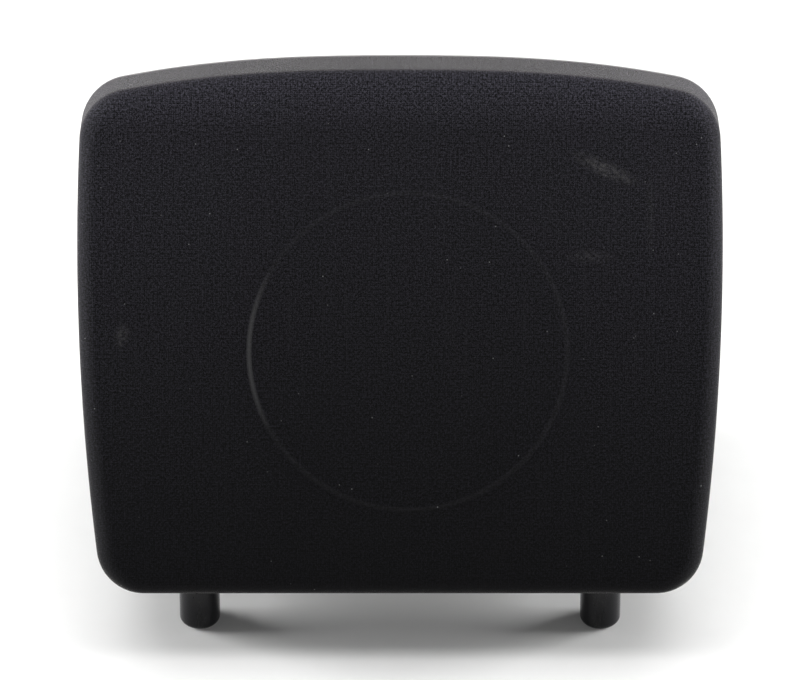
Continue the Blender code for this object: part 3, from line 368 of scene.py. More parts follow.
# %% [markdown]
# ## The cabinet's textured coat
#
# The cabinet is a structural foam moulding. Its skin has a pebbled texture about a millimetre across, which
# hides scratches, and the tops of the pebbles are polished a little by handling. Rounded cells give the
# pebbles and a finer noise roughens them.

# %% The pebbled coat
cabinet_coat = Finish("cabinet_coat", (0.010, 0.010, 0.011), 0.62, Specular_IOR_Level=0.18)
pebbles = cabinet_coat.cells(760, "SMOOTH_F1", random=0.9)
grit = cabinet_coat.noise(2600, 3, 0.6)
relief = cabinet_coat.maths("MULTIPLY_ADD", grit, 0.35, pebbles)
dust = cabinet_coat.noise(9, 6, 0.6)
tops = cabinet_coat.ramp(pebbles, 0.15, 0.6)
worn = cabinet_coat.mix(tops, (0.006, 0.006, 0.0065, 1), (0.013, 0.013, 0.0135, 1))
dusty = cabinet_coat.ramp(dust, 0.5, 0.8, 0, 0.35)
cabinet_coat.into("Base Color", cabinet_coat.mix(dusty, worn, (0.024, 0.0235, 0.023, 1)))
cabinet_coat.into("Roughness", cabinet_coat.ramp(dust, 0.35, 0.75, 0.50, 0.74))
cabinet_coat.bump(relief, 0.0004, 0.8)
print("the cabinet's coat has", len(cabinet_coat.tree.nodes), "nodes")

# %% Which finish each packed node takes
finishes = {
    cabinet_coat: ["cabinet_shell"],
    baffle_stain: ["front_baffle"],
    frame_plastic: ["grille_frame", "horn_flare"],
    soft_rubber: ["driver_gasket", "surround"] + [f"grille_socket_{i}" for i in (1, 2, 3, 4)],
    driver_paint: ["driver_basket", "compression_driver"],
    screw_steel: [f"driver_screw_{i}" for i in (1, 2, 3, 4)] + [f"amp_screw_{i}" for i in (1, 2, 3, 4)],
    zinc_steel: ["top_plate", "pole_yoke"],
    ferrite: ["magnet_ring"],
    cone_paper: ["cone"],
    spider_cloth: ["spider"],
    copper_winding: ["voice_coil", "transformer"],
    port_plastic: ["port_tube_left", "port_tube_right"],
    powder_coat: ["amp_panel"],
    socket_nylon: ["input_socket_1", "input_socket_2", "link_socket", "power_inlet", "switch_housing"],
    pot_steel: ["pot_1", "pot_2", "pot_3"],
    rocker_gloss: ["power_rocker"],
    black_anodised: ["heat_sink"],
    solder_mask: ["amp_board"],
    open_foam: ["damping_pad"],
    thread_brass: [n for n in frame["nodes"] if n.startswith("foot_insert")],
}
for finish, nodes in finishes.items():
    for node in nodes:
        frame["nodes"][node].data.materials.clear()
        frame["nodes"][node].data.materials.append(finish.material)
print(sum(len(nodes) for nodes in finishes.values()), "packed nodes have a finish")

# %% [markdown]
# ## Smooth copies of the mouldings
#
# The packed mouldings are exact, but their roundings are made of flat strips. A copy of each takes its place:
# flat faces are joined up again, and the shading runs smoothly round a rounding and stays sharp at a true
# edge. The points stay where they were, so no size changes. A subdivision surface would round them too, but
# it would also pull the flats and the sharp edges out of true.


# %% Copy a packed node with smooth roundings
MERGE_UNDER = 0.00001  # points closer than this are one point
FLAT_WITHIN = math.radians(0.4)  # faces this nearly level with each other are one face


def smooth_copy(node, finish, body, crease=32):
    source = frame["nodes"][node]
    work = bmesh.new()
    work.from_mesh(source.data)
    work.transform(source.matrix_world)
    bmesh.ops.remove_doubles(work, verts=work.verts, dist=MERGE_UNDER)
    bmesh.ops.dissolve_limit(work, angle_limit=FLAT_WITHIN, verts=work.verts, edges=work.edges)
    work.verts.index_update()
    points = [vertex.co.copy() for vertex in work.verts]
    faces = [tuple(vertex.index for vertex in face.verts) for face in work.faces]
    work.free()
    made = piece(f"smooth_{node}", points, faces, finish.material, body, [node], crease)
    weighted = made.modifiers.new("weighted", "WEIGHTED_NORMAL")
    weighted.keep_sharp = True
    weighted.weight = 80
    return made


MOULDINGS = [
    ("cabinet_shell", cabinet_coat, "cabinet", "cabinet_coat"),
    ("grille_frame", frame_plastic, "grille", "frame_plastic"),
    ("driver_basket", driver_paint, "cabinet", "cast_basket"),
    ("port_tube_left", port_plastic, "cabinet", "port_plastic"),
    ("port_tube_right", port_plastic, "cabinet", "port_plastic"),
    ("input_socket_1", socket_nylon, "cabinet", "socket_plastic"),
    ("input_socket_2", socket_nylon, "cabinet", "socket_plastic"),
    ("link_socket", socket_nylon, "cabinet", "socket_plastic"),
]
for node, finish, body, slot in MOULDINGS:
    smooth_copy(node, finish, body)
print(len(MOULDINGS), "mouldings have smooth copies")

# %% [markdown]
# ## The outline of the face
#
# Seen straight on, the face has two long bowed sides, an arched top and a straight bottom, with a round
# corner at each meeting. The corners are true arcs, so where each one touches its side and its top is found
# by a few steps of Newton's method.

# %% Sides, top and corners
HOOD_HEIGHT = 0.3862
WIDEST_AT = 0.252  # height of the widest point
SIDE_RADIUS = 1.79
ARCH_DROP, ARCH_AT, ARCH_POWER = 0.0126, 0.1924, 2.6
TOP_CORNER, BOTTOM_CORNER = 0.037, 0.034
TOP_DRAFT = math.radians(12)
DRAFT_GROW = HOOD_DEPTH * math.tan(TOP_DRAFT) / HOOD_HEIGHT


def unit(x, y):
    return np.array((x, y)) / math.hypot(x, y)


def side_curve(v):
    off = v - WIDEST_AT
    return np.array((HOOD_WIDTH / 2 - off**2 / (2 * SIDE_RADIUS), v)), unit(1, off / SIDE_RADIUS)


def top_curve(u):
    reach = abs(u) / ARCH_AT
    slope = -ARCH_DROP * ARCH_POWER / ARCH_AT * reach ** (ARCH_POWER - 1)
    return np.array((u, HOOD_HEIGHT - ARCH_DROP * reach**ARCH_POWER)), unit(-slope, 1)


def bottom_curve(u):
    return np.array((u, 0.0)), np.array((0.0, -1.0))


def corner(edge, radius, v, u):
    """Where an arc of this radius touches the side and the edge, and its centre."""
    small = 1e-5
    for _ in range(30):
        gaps = []
        for dv, du in ((0, 0), (small, 0), (0, small)):
            (side, side_out), (other, other_out) = side_curve(v + dv), edge(u + du)
            gaps.append(side - radius * side_out - other + radius * other_out)
        slopes = np.column_stack([(gap - gaps[0]) / small for gap in gaps[1:]])
        step = np.linalg.solve(slopes, -gaps[0])
        v, u = v + step[0], u + step[1]
    point, normal = side_curve(v)
    return v, u, point - radius * normal


def arc(centre, radius, start, end, steps):
    angles = np.linspace(start, end, steps + 1)
    return [centre + radius * np.array((math.cos(a), math.sin(a))) for a in angles]


narrower = HOOD_WIDTH - 2 * side_curve(0)[0][0]
print(f"the face is {narrower * 1000:.1f} mm narrower at the bottom than at its widest")

# %% The whole outline, evenly spaced
COLUMNS = 360


def outline():
    low_v, _, low_centre = corner(bottom_curve, BOTTOM_CORNER, BOTTOM_CORNER, 0.18)
    high_v, high_u, high_centre = corner(top_curve, TOP_CORNER, HOOD_HEIGHT - TOP_CORNER, 0.19)
    outward = (side_curve(low_v)[1], side_curve(high_v)[1], top_curve(high_u)[1])
    low, high, over = [math.atan2(n[1], n[0]) for n in outward]
    right = arc(low_centre, BOTTOM_CORNER, -math.pi / 2, low, 24)
    right += [side_curve(v)[0] for v in np.linspace(low_v, high_v, 60)[1:-1]]
    right += arc(high_centre, TOP_CORNER, high, over, 24)
    right += [top_curve(u)[0] for u in np.linspace(high_u, 0, 40)[1:]]
    left = [(-x, y) for x, y in reversed(right[:-1])]
    whole = np.array([np.array((0.0, 0.0)), *right, *left, (0.0, 0.0)])
    run = np.concatenate([[0], np.cumsum(np.linalg.norm(np.diff(whole, axis=0), axis=1))])
    even = np.linspace(0, run[-1], COLUMNS + 1)[:-1]
    return np.column_stack([np.interp(even, run, whole[:, i]) for i in (0, 1)]), run[-1]


OUTLINE, AROUND = outline()


def section(inset, out):
    """The outline this far out of the face, moved in by inset, and the way it faces."""
    grow = 1 + DRAFT_GROW * (1 - out / HOOD_DEPTH)
    loop = OUTLINE * (1, grow)
    along = np.roll(loop, -1, axis=0) - np.roll(loop, 1, axis=0)
    facing = np.column_stack((along[:, 1], -along[:, 0]))
    facing /= np.linalg.norm(facing, axis=1)[:, None]
    return loop - inset * facing, facing


print(f"outline {AROUND:.3f} m round")

# %% [markdown]
# ## The cloth
#
# The cloth is one piece of black stretch knit, pulled over the tray and glued behind its skirt. It touches
# the tray only at the rim and at a raised ring round the driver's opening, so the ring prints through as a
# faint circle, and inside the circle the cloth hangs a hair lower.
#
# A simulation would add wrinkles that tight cloth doesn't have. The sheet is laid instead in loops: circles
# close together over the ring, then loops that change from circle to outline, then the rolled edge and the
# skirt. Its flat coordinates are kept as a UV map in metres, so that the knit runs on over the edge.

# %% How the cloth lies
DRIVER = np.array((0.006, 0.181))  # the middle of the opening, across and up the face
RING_MIDDLE, RING_WIDTH, RING_LIFT = 0.1178, 0.0014, 0.00075
DISH = 0.0010  # how much lower the cloth hangs in the middle of the opening
UNEVEN = 0.00012  # long shallow waves left by stretching it by hand
SKIRT_END = 0.0010
CLOTH_THICK = 0.0008


def cloth_lift(u, v):
    """How far the cloth stands out of its flat plane."""
    out = math.hypot(u - DRIVER[0], v - DRIVER[1])
    ridge = RING_LIFT * math.exp(-(((out - RING_MIDDLE) / RING_WIDTH) ** 2))
    dish = DISH * (1 - min(out / RING_MIDDLE, 1) ** 4)
    waves = UNEVEN * math.sin(31 * u + 1.3) * math.sin(27 * v + 0.4)
    return ridge - dish + waves


def cloth_rows():
    """Rows of (points, flat points), from the middle of the opening out to the end of the skirt."""
    edge, _ = section(EDGE_ROLL, HOOD_DEPTH)
    off = OUTLINE - DRIVER
    spokes = off / np.linalg.norm(off, axis=1)[:, None]
    radii = [*np.linspace(0.006, 0.110, 18), *np.arange(0.1112, 0.1252, 0.0006)]
    flats = [DRIVER + r * spokes for r in radii]
    flats += [flats[-1] + (edge - flats[-1]) * t for t in np.linspace(0, 1, 30)[1:]]
    rows = [([on_face(u, v, HOOD_DEPTH + cloth_lift(u, v)) for u, v in flat], flat) for flat in flats]
    for angle in np.linspace(0, math.pi / 2, 17)[1:]:
        out = HOOD_DEPTH - EDGE_ROLL * (1 - math.cos(angle))
        loop, facing = section(EDGE_ROLL * (1 - math.sin(angle)), out)
        rows.append(([on_face(u, v, out) for u, v in loop], edge + facing * EDGE_ROLL * angle))
    turned_by = EDGE_ROLL * math.pi / 2
    for out in np.linspace(HOOD_DEPTH - EDGE_ROLL, SKIRT_END, 12)[1:]:
        loop, facing = section(0, out)
        flat = edge + facing * (turned_by + HOOD_DEPTH - EDGE_ROLL - out)
        rows.append(([on_face(u, v, out) for u, v in loop], flat))
    return rows


def add_flat_map(made, flats):
    """Keeps each point's flat place in metres as a UV map."""
    layer = made.data.uv_layers.new(name="flat_cloth")
    for loop in made.data.loops:
        layer.data[loop.index].uv = flats[loop.vertex_index]


print(f"over the ring the cloth stands out {cloth_lift(DRIVER[0] + RING_MIDDLE, DRIVER[1]) * 1000:.2f} mm")

# %% [markdown]
# ### Black knit
#
# A knit is rows and columns of small loops of yarn, with a slanting pattern over them and loose fibres on
# top. It could be modelled loop by loop, but there are about a quarter of a million, so it is a pattern in
# the finish. Crossed sine waves give the loops and the slants. Their rows are made to stray a little, or the
# cloth would look printed. Noise gives the fibres, and a little sheen the soft light they catch at the edges.
#
# The colour then changes slowly over the whole cloth, as painted light and shade: a painted shade makes it
# darker towards the bottom, a painted highlight makes the turned top edge paler, and painted light makes it
# paler towards the two sides.

# %% The knit
knit = Finish("black_knit", (0.0080, 0.0078, 0.0090), 0.95, Sheen_Weight=0.28, Sheen_Roughness=0.25)
knit.shader.inputs["Sheen Tint"].default_value = (1.0, 0.97, 0.94, 1)
knit.shader.inputs["Specular IOR Level"].default_value = 0.15
flat_place = knit.place(source="UV")
split = knit.add("ShaderNodeSeparateXYZ", Vector=flat_place)
across, along = split.outputs[0], split.outputs[1]
WANDER = 0.0024  # how far the rows of loops stray, which keeps them from looking printed
stray_across = knit.maths("MULTIPLY_ADD", knit.noise(430, 2, 0.6, at=flat_place), WANDER, across)
stray_along = knit.maths("MULTIPLY_ADD", knit.noise(510, 2, 0.6, at=flat_place), WANDER, along)


def wave(value, period):
    return knit.maths("SINE", knit.maths("MULTIPLY", value, 2 * math.pi / period))


WALE, COURSE, LATTICE = 0.00115, 0.00085, 0.0027  # the pitch of the columns, the rows and the slants
loops_of_yarn = knit.maths("MULTIPLY", wave(stray_across, WALE), wave(stray_along, COURSE))
lean_one = wave(knit.maths("ADD", stray_across, stray_along), LATTICE)
lean_two = wave(knit.maths("SUBTRACT", stray_across, stray_along), LATTICE)
lattice = knit.maths("MULTIPLY", lean_one, lean_two)
fuzz = knit.noise(600, 3, 0.8, at=flat_place)
yarn = knit.maths("MULTIPLY_ADD", lattice, 0.10, knit.maths("MULTIPLY_ADD", loops_of_yarn, 0.12, fuzz))
streaks = knit.noise(260, 3, 0.6, at=knit.place(stretch=(1, 0.03, 1), source="UV"))
knit_colour = knit.mix(knit.ramp(yarn, 0.45, 0.64), (0.0004, 0.0004, 0.0007, 1), (0.0262, 0.0250, 0.0325, 1))
knit_colour = knit.mix(knit.ramp(streaks, 0.58, 0.75, 0, 0.25), knit_colour, (0.022, 0.022, 0.025, 1))
# painted shade: the face is darker towards the bottom, where less light falls
painted_light_and_shade = knit.ramp(along, -0.02, 0.42, 0.18, 0.85)
# painted light: the face is paler towards the two sides
painted_side_light = knit.ramp(knit.maths("ABSOLUTE", across), 0.07, 0.24, 1.0, 1.35)
painted_light_and_shade = knit.maths("MULTIPLY", painted_light_and_shade, painted_side_light)
# painted highlight: the turned top edge is paler
painted_light_and_shade = knit.maths("MULTIPLY", painted_light_and_shade, knit.ramp(along, 0.345, 0.390, 1.0, 2.3))
knit_colour = knit.mix(1.0, knit_colour, painted_light_and_shade, "MULTIPLY")
print(f"a centimetre of knit has {0.01 / WALE:.0f} columns and {0.01 / COURSE:.0f} rows of loops")

# %% [markdown]
# ### Wear and a painted highlight on the cloth
#
# Used stage cloth carries pale smears, specks of lint, and a rubbed line where it runs over the ring. That
# line is partly wear and partly a painted highlight, much paler on the left, where a light from the left would
# catch the ridge. A few soft ovals give the smears. The lint is the middles of scattered cells, thinned by a
# slow noise so that it comes in patches. It is all colour, because none of it has a height to be seen.


# %% Smears, the rubbed ring with its painted highlight, and lint
def vector_maths(operation, a, b=(0, 0, 0)):
    return knit.add("ShaderNodeVectorMath", {"operation": operation}, _0=a, _1=b)


def patch(at, size, turn):
    """A soft oval, 1 in the middle and 0 outside, on the flat cloth."""
    there = vector_maths("SUBTRACT", flat_place, (*at, 0)).outputs[0]
    spun = knit.add("ShaderNodeVectorRotate", {"rotation_type": "Z_AXIS"}, Vector=there, Angle=turn)
    shrunk = vector_maths("DIVIDE", spun.outputs[0], (*size, 1)).outputs[0]
    far = vector_maths("LENGTH", shrunk).outputs["Value"]
    return knit.ramp(far, 0.1, 1.0, 1.0, 0.0)


# where it is, how long and wide, how far it is turned, and how strong
smears = [
    ((0.152, 0.317), (0.030, 0.007), 0.42, 0.60),
    ((0.141, 0.252), (0.020, 0.006), 0.0, 0.22),
    ((-0.206, 0.193), (0.007, 0.011), 0.3, 0.40),
    ((0.185, 0.285), (0.004, 0.045), 0.0, 0.12),
]
cloudy = knit.ramp(knit.noise(330, 4, 0.75, at=flat_place), 0.42, 0.68)
for at, size, turn, strength in smears:
    mask = knit.maths("MULTIPLY", knit.maths("MULTIPLY", patch(at, size, turn), cloudy), strength)
    knit_colour = knit.mix(mask, knit_colour, (0.085, 0.083, 0.083, 1))
from_driver = vector_maths("DISTANCE", flat_place, (*DRIVER, 0)).outputs["Value"]
off_ridge = knit.maths("ABSOLUTE", knit.maths("SUBTRACT", from_driver, RING_MIDDLE))
on_ridge = knit.ramp(off_ridge, 0.0, 0.0022, 1, 0)
# painted highlight: the line over the ring is a little paler all round as wear, and much paler on the left,
# where light from the left would catch the ridge
ridge_wear_and_highlight = knit.maths("MULTIPLY", on_ridge, knit.ramp(across, -0.111, -0.096, 0.75, 0.08))
knit_colour = knit.mix(ridge_wear_and_highlight, knit_colour, (0.040, 0.040, 0.041, 1))
lint = knit.cells(95, at=flat_place)
rare = knit.noise(37, 2, 0.5, at=flat_place)
specks = knit.maths("MULTIPLY", knit.ramp(lint, 0.030, 0.055, 1, 0), knit.ramp(rare, 0.45, 0.55, 0, 0.8))
knit_colour = knit.mix(specks, knit_colour, (0.13, 0.13, 0.13, 1))
knit.into("Base Color", knit_colour)
knit.bump(yarn, 0.00035, 0.7)
print(len(smears), "smears; the cloth's finish has", len(knit.tree.nodes), "nodes")

# %% Lay the cloth
rows = cloth_rows()
surface = loft([points for points, _ in rows], (True, False))
cloth = piece("hood_cloth", *surface, knit.material, "grille", ["grille_cloth"], crease=80)
add_flat_map(cloth, [flat for _, flats in rows for flat in flats])
thickness = cloth.modifiers.new("thickness", "SOLIDIFY")
thickness.thickness = CLOTH_THICK
thickness.offset = -1
flat_rim = np.array(rows[-1][1])
x, y = flat_rim[:, 0], flat_rim[:, 1]

# %% [markdown]
# ## The feet
#
# Four gloss black feet are turned plastic, screwed into brass threads in the underside. They are what the
# light catches at the bottom of a matt black object, so their rolled edge and a shallow groove under the top
# are cut properly, and they are polished more than anything else.

# %% Feet
foot_gloss = Finish("foot_gloss", (0.006, 0.006, 0.007), 0.16, Specular_IOR_Level=0.22)
scuffs = foot_gloss.noise(300, 4, 0.7, at=foot_gloss.place(stretch=(1, 1, 0.25)))
foot_gloss.into("Roughness", foot_gloss.ramp(scuffs, 0.4, 0.8, 0.12, 0.34))
foot_gloss.into("Base Color", foot_gloss.mix(scuffs, (0.004, 0.004, 0.005, 1), (0.010, 0.010, 0.011, 1)))
foot_gloss.bump(scuffs, 0.00002)
SOLE_ROLL = 0.0055
GROOVE_DEEP = 0.0004
STUD_RADIUS = 0.005
CENTRE_DOT = 0.0005  # a turned profile starts this far from its axis, so that its faces keep an area


def foot_profile(radius, height, stud_top):
    """From the middle of the sole, round its rolled edge, up the side, and up the stud."""
    sole = [(CENTRE_DOT, 0.0), (radius - SOLE_ROLL, 0.0)]
    for a in np.linspace(-math.pi / 2, 0, 9)[1:]:
        sole.append((radius - SOLE_ROLL + SOLE_ROLL * math.cos(a), SOLE_ROLL + SOLE_ROLL * math.sin(a)))
    groove = [(radius, height - 0.0032), (radius - GROOVE_DEEP, height - 0.0028)]
    groove += [(radius - GROOVE_DEEP, height - 0.0022), (radius, height - 0.0018)]
    rim = [(radius, height - 0.0006), (radius - 0.0005, height)]
    stud = [(STUD_RADIUS, height), (STUD_RADIUS, stud_top - 0.0006), (CENTRE_DOT, stud_top)]
    return sole + groove + rim + stud


for corner_name in ("front_left", "front_right", "rear_left", "rear_right"):
    low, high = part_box(f"foot_{corner_name}")
    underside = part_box(f"foot_insert_{corner_name}")[0][2]
    centre = (Vector(low) + Vector(high)) / 2
    profile = foot_profile((high[0] - low[0]) / 2, underside - low[2] - BACK_GAP, high[2] - low[2])
    shape = moved(turned(profile, 72), (centre.x, centre.y, low[2]))
    body = f"foot_body_{corner_name}"
    made = piece(f"turned_foot_{corner_name}", *shape, foot_gloss.material, body, [f"foot_{corner_name}"])
print(f"four turned feet, {(high[0] - low[0]) * 1000:.1f} mm across")

# %% [markdown]
# ## The hand cup
#
# A moulded cup is let into the falling top, so that the monitor can be carried in one hand. Its lip and its
# floor are rounded where fingers go. Its own directions follow the falling top, and its middle is worked back
# from the far corner of its box.

# %% Where the hand cup sits
TOP_FALL = math.radians(12)
CUP_WIDE, CUP_TALL, CUP_DEEP, CUP_LIP, CUP_SHEET = 0.126, 0.060, 0.038, 0.008, 0.003
CUP_GAP = 0.0003  # under the lip, so that it doesn't fight with the cabinet's top
LIP_ROLL = 0.0014
fall = LEAN + TOP_FALL
cup_out = Vector((0, math.sin(fall), math.cos(fall)))
cup_down = Vector((0, math.cos(fall), -math.sin(fall)))
cup_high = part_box("hand_cup")[1]
reach = CUP_TALL / 2 + CUP_LIP
above = CUP_GAP + CUP_SHEET
corner_off = Vector((0, reach * cup_down.y + above * cup_out.y, -reach * cup_down.z + above * cup_out.z))
cup_middle = Vector((0, cup_high[1], cup_high[2])) - corner_off
print("the cup's middle is at", [round(c, 4) for c in cup_middle])


# %% Lay the cup in loops, from outside its floor, over the lip and down inside
def round_rectangle(wide, tall, radius, steps=8):
    shape = []
    for sx, sy, start in ((1, 1, 0), (-1, 1, 90), (-1, -1, 180), (1, -1, 270)):
        x, y = sx * (wide / 2 - radius), sy * (tall / 2 - radius)
        for a in np.radians(np.linspace(start, start + 90, steps + 1)):
            shape.append((x + radius * math.cos(a), y + radius * math.sin(a)))
    return shape


def cup_loop(wide, tall, radius, out):
    flat = round_rectangle(wide, tall, radius)
    return [cup_middle + float(x) * ACROSS - float(y) * cup_down + float(out) * cup_out for x, y in flat]


cup_loops = [cup_loop(CUP_WIDE - 0.010, CUP_TALL - 0.008, 0.018, -CUP_DEEP)]
cup_loops.append(cup_loop(CUP_WIDE, CUP_TALL, 0.020, CUP_GAP))
lip_wide, lip_tall, top = CUP_WIDE + 2 * CUP_LIP, CUP_TALL + 2 * CUP_LIP, CUP_GAP + CUP_SHEET
cup_loops += [cup_loop(lip_wide, lip_tall, 0.026, out) for out in (CUP_GAP, top - LIP_ROLL)]
for a in np.linspace(0, math.pi / 2, 5)[1:]:
    cut = 2 * LIP_ROLL * (1 - math.cos(a))
    cup_loops.append(cup_loop(lip_wide - cut, lip_tall - cut, 0.026, top - LIP_ROLL * (1 - math.sin(a))))
for a in np.linspace(0, math.pi / 2, 6):
    cut = 0.0045 + (2 * CUP_SHEET * (math.sin(a) - 1) + 0.001)
    cup_loops.append(cup_loop(CUP_WIDE - cut, CUP_TALL - cut, 0.020, top - CUP_SHEET * (1 - math.cos(a))))
for a in np.linspace(0, math.pi / 2, 7):
    cut, out = 0.012 + 0.012 * (1 - math.cos(a)), -CUP_DEEP + 0.009 - 0.006 * math.sin(a)
    cup_loops.append(cup_loop(CUP_WIDE - cut - 0.003, CUP_TALL - cut - 0.001, 0.016, out))
moulding = loft(cup_loops)
cup = piece("hand_cup_moulding", *moulding, handle_plastic.material, "cabinet", ["hand_cup"], crease=50)
print("the cup is laid in", len(cup_loops), "loops")

# %% [markdown]
# ## The rear panel
#
# The amplifier's panel is black coated sheet. It carries two inputs and a link socket, three knobs, a mains
# inlet, a rocker switch and a light. Printing is left out, apart from plain scale marks round each knob. The
# knobs are ribbed for grip and have a raised pointer line.

# %% Knobs, pointers and scale marks
print_white = grained("print_white", (0.62, 0.62, 0.60), 0.5, 2500, 0.00003, vary=0.08)
panel_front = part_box("amp_panel")[1][1]
KNOB_BODIES = {"knob_1": "volume_knob_1", "knob_2": "volume_knob_2", "knob_3": "tone_knob"}
KNOB_TURN = 140  # degrees to each side
RIBS, RIB_DEEP, RIBBED_OUTSIDE = 20, 0.045, 0.0062
OUTWARD, TO_LEFT = (0, 1, 0), (-1, 0, 0)


def rib(angle, radius):
    """Grooves round the knob's skirt, and none near its middle."""
    if radius <= RIBBED_OUTSIDE:
        return radius
    return radius * (1 - RIB_DEEP * max(0.0, math.cos(RIBS * angle)) ** 2)


def scale_marks(centre):
    """Eleven ticks round a knob, with longer ones in the middle and at both ends of its turn."""
    marks = []
    for i in range(11):
        angle = math.radians(KNOB_TURN * (i - 5) / 5)
        long = 0.0030 if i in (0, 5, 10) else 0.0018
        tick = block((-0.00025, 0.0112, 0.0), (0.00025, 0.0112 + long, 0.00012))
        outward = Vector((-math.cos(angle), 0, -math.sin(angle)))
        marks.append(moved(tick, centre, x=outward, z=OUTWARD))
    return joined(marks)


for node, body in KNOB_BODIES.items():
    low, high = map(Vector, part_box(node))
    axis = Vector(((low.x + high.x) / 2, panel_front, (low.z + high.z) / 2))
    radius, length = (high.x - low.x) / 2, high.y - panel_front
    profile = [(CENTRE_DOT, 0.0012), (radius - 0.0004, 0.0012), (radius, 0.0020), (radius, 0.0042)]
    profile += [(radius - 0.0008, 0.0048), (radius - 0.0012, length - 0.0016)]
    profile += [(radius - 0.0017, length - 0.0005), (radius - 0.0026, length)]
    profile += [(0.0040, length - 0.0003), (CENTRE_DOT, length - 0.0004)]
    ribbed = moved(turned(profile, 240, rib), axis, TO_LEFT, OUTWARD)
    knob = piece(f"ribbed_{node}", *ribbed, knob_plastic.material, body, [node], crease=30)
    line = block((-0.0004, 0.0012, length - 0.0004), (0.0004, radius - 0.0022, length + 0.0002))
    piece(f"pointer_{node}", *moved(line, axis, TO_LEFT, OUTWARD), print_white.material, body)
    piece(f"scale_{node}", *scale_marks(axis), print_white.material, "cabinet")
print("three knobs, each with", RIBS, "ribs")

# %% [markdown]
# ## Sockets and switch
#
# Each input is a round nylon socket with three contact holes at the bottom and a latch at the top. The link
# socket has pins instead, because it feeds the next monitor. The mains inlet has three flat blades, and the
# middle one is longer, since earth makes contact first.

# %% Contacts and latches
CONTACT_SPREAD = 0.0046  # from the middle of the socket to each contact
SOCKET_FLOOR = 0.0102  # from the back of the socket to the floor of its bore
for node in ("input_socket_1", "input_socket_2", "link_socket"):
    low, high = map(Vector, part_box(node))
    centre = Vector(((low.x + high.x) / 2, low.y + SOCKET_FLOOR, (low.z + high.z) / 2))
    spots = [(CONTACT_SPREAD * math.sin(t), CONTACT_SPREAD * math.cos(t)) for t in np.radians((60, 180, 300))]
    if node == "link_socket":
        pin = turned([(0.0003, 0.0), (0.0012, 0.0), (0.0012, 0.0085), (0.0008, 0.0092), (0.0003, 0.0094)], 20)
        metal = joined([moved(pin, centre + Vector((-x, 0, y)), TO_LEFT, OUTWARD) for x, y in spots])
        piece("link_pins", *metal, contact_gold.material, "cabinet")
    else:
        disc = [(0.0003, 0.0), (0.0090, 0.0), (0.0090, 0.0052), (0.0085, 0.0058), (0.0003, 0.0058)]
        insert = moved(turned(disc, 48), centre, TO_LEFT, OUTWARD)
        piece(f"{node}_insert", *insert, knob_plastic.material, "cabinet")
        lined = [(0.0011, 0.0050), (0.0017, 0.0050), (0.0017, 0.0062), (0.0011, 0.0062), (0.0009, 0.0054)]
        sleeve = turned(lined, 20)
        metal = joined([moved(sleeve, centre + Vector((-x, 0, y)), TO_LEFT, OUTWARD) for x, y in spots])
        piece(f"{node}_contacts", *metal, contact_gold.material, "cabinet")
        tab = block((-0.0030, 0.0100, 0.0080), (0.0030, 0.0142, 0.0152), 0.0008)
        piece(f"{node}_latch", *moved(tab, centre, TO_LEFT, OUTWARD), zinc_steel.material, "cabinet")
print("three contacts in each of three sockets")

# %% Blades of the mains inlet
INLET_FLOOR = 0.0195  # from the front of the inlet to the floor of its mouth
BLADE_LONG = 0.0145
low, high = map(Vector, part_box("power_inlet"))
centre = Vector(((low.x + high.x) / 2, high.y - INLET_FLOOR, (low.z + high.z) / 2))
blades = []
for x, y, more in ((-0.0070, -0.0015, 0), (0.0070, -0.0015, 0), (0, 0.0020, 0.0015)):
    blade = block((x - 0.0010, y - 0.0020, 0), (x + 0.0010, y + 0.0020, BLADE_LONG + more))
    blades.append(moved(blade, centre, TO_LEFT, OUTWARD))
piece("inlet_blades", *joined(blades), blade_nickel.material, "cabinet")
print(len(blades), "blades in the inlet")

# %% [markdown]
# ## Rocker marks and light
#
# The rocker is a shallow V, and is printed with a line for on and a ring for off, one on each of its two
# slopes. Each mark lies in the plane of its slope and rides on the rocker, so that it tips with it. The light
# beside it is a tinted lens with small cells inside that scatter the light.

# %% Marks on the rocker
rock = next(j for j in frame["joints"] if j["name"] == "power_rock")
REST_TILT = math.radians(8)
V_DEEP, V_HALF = 0.0031, 0.0105  # how far the V rises at its ends, and how far they are from its middle
MARK_AT, MARK_THICK = 0.0066, 0.00015
rocker_out = Vector((0, math.cos(REST_TILT), math.sin(REST_TILT)))
rocker_up = rocker_out.cross(Vector(TO_LEFT))
pivot = Vector(rock["pos_m"])
slope = math.atan2(V_DEEP, V_HALF)
for name, side in (("on", 1), ("off", -1)):
    out = (rocker_out * math.cos(slope) - side * rocker_up * math.sin(slope)).normalized()
    spot = pivot + side * rocker_up * MARK_AT + rocker_out * (V_DEEP + MARK_AT * math.tan(slope))
    if name == "on":
        mark = block((-0.0003, -0.0016, -0.0001), (0.0003, 0.0016, MARK_THICK))
    else:
        bottom = [(0.0013, -0.0001), (0.0018, -0.0001)]
        mark = turned(bottom + [(0.0018, MARK_THICK), (0.0013, MARK_THICK), (0.0013, 0)], 32)
    piece(f"rocker_mark_{name}", *moved(mark, spot, TO_LEFT, out), print_white.material, "rocker")
print(f"the marks lie on slopes of {math.degrees(slope):.1f} degrees")

# %% The light's lens
tinted = Finish("tinted_lens", (0.10, 0.26, 0.75), 0.12, Coat_Weight=0.6)
inner = tinted.cells(1800)
tinted.into("Base Color", tinted.mix(inner, (0.05, 0.16, 0.55, 1), (0.22, 0.42, 0.90, 1)))
tinted.bump(inner, 0.0001)
frame["nodes"]["led_lens"].data.materials.clear()
frame["nodes"]["led_lens"].data.materials.append(tinted.material)
print("the lens is", tinted.material.name)

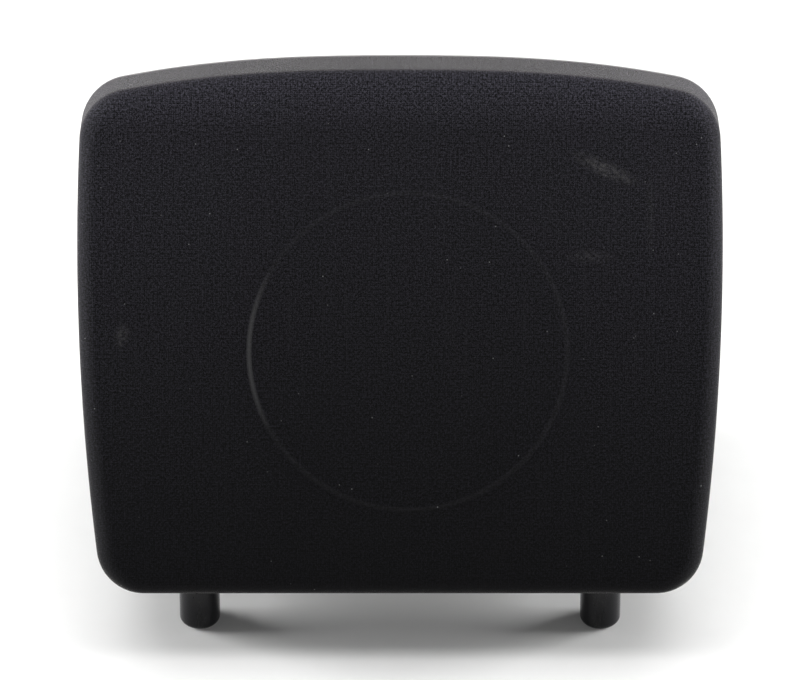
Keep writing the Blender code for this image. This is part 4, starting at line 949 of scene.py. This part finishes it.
# %% [markdown]
# ## Camera, floor and light
#
# The camera stands in front and well above, and looks down nearly straight at the leaning face. It is far
# away with a long lens, so that the face keeps its proportions. Plain pale paper lies under everything.
#
# Black objects show mostly their sheen, so the light is soft and comes from large panels. A wide one overhead
# fills the floor, a narrow strip near the top makes the face fade from top to bottom, and one at each side
# draws the thin pale rims. The camera doesn't see the panels themselves.

# %% Camera
ELEVATION = math.radians(35.8)
DISTANCE = 6.0
FRAME_WIDTH = 0.592  # how wide a strip of the world fills the frame, at the object's distance
UP_THE_FACE = 0.199  # the height up the face that the camera is aimed near
AIM_LOWER = 0.0090
backward = Vector((0, -math.cos(ELEVATION), math.sin(ELEVATION)))
view_up = Vector((0, math.sin(ELEVATION), math.cos(ELEVATION)))
aim = on_face(0, UP_THE_FACE, HOOD_DEPTH) - view_up * AIM_LOWER
camera = bpy.data.objects.new("camera", bpy.data.cameras.new("camera"))
bpy.context.scene.collection.objects.link(camera)
camera.data.lens = camera.data.sensor_width * DISTANCE / FRAME_WIDTH
camera.data.clip_end = 60
camera.location = aim + backward * DISTANCE
camera.rotation_euler = (-backward).to_track_quat("-Z", "Y").to_euler()
bpy.context.scene.camera = camera
print(f"the lens is {camera.data.lens:.0f} mm long, {DISTANCE:.0f} m away")

# %% Floor
paper = Finish("pale_paper", (0.86, 0.86, 0.855), 0.85)
paper.into("Base Color", paper.mix(paper.noise(40, 5), (0.85, 0.85, 0.845, 1), (0.88, 0.88, 0.875, 1)))
bpy.ops.mesh.primitive_plane_add(size=30)
floor = bpy.context.object
floor.name = "floor"
floor.data.materials.append(paper.material)
print("the floor lies at", floor.location.z)


# %% Lights
def panel(name, at, size, power, target=(0, 0, 0.2)):
    light = bpy.data.lights.new(name, "AREA")
    light.shape = "RECTANGLE"
    light.size, light.size_y = size
    light.energy = power
    made = bpy.data.objects.new(name, light)
    bpy.context.scene.collection.objects.link(made)
    made.location = at
    made.rotation_euler = (Vector(at) - Vector(target)).to_track_quat("Z", "Y").to_euler()
    made.visible_camera = False


panel("overhead", (0.0, 0.35, 2.4), (3.6, 2.6), 46)
panel("top_strip", (0.0, -0.35, 0.66), (1.3, 0.16), 3.1, target=(0, 0.0, 0.40))
panel("left_side", (-1.6, 0.22, 0.33), (0.9, 0.6), 50)
panel("right_side", (1.6, 0.22, 0.33), (0.9, 0.6), 46)
world = bpy.data.worlds.new("studio")
world.use_nodes = True
world.node_tree.nodes["Background"].inputs[0].default_value = (1, 1, 1, 1)
world.node_tree.nodes["Background"].inputs[1].default_value = 0.24
bpy.context.scene.world = world
bpy.context.scene.view_settings.view_transform = "Standard"
lights = [o for o in bpy.data.objects if o.type == "LIGHT"]
print(len(lights), "panels give", round(sum(light.data.energy for light in lights), 1), "watts")

# %% [markdown]
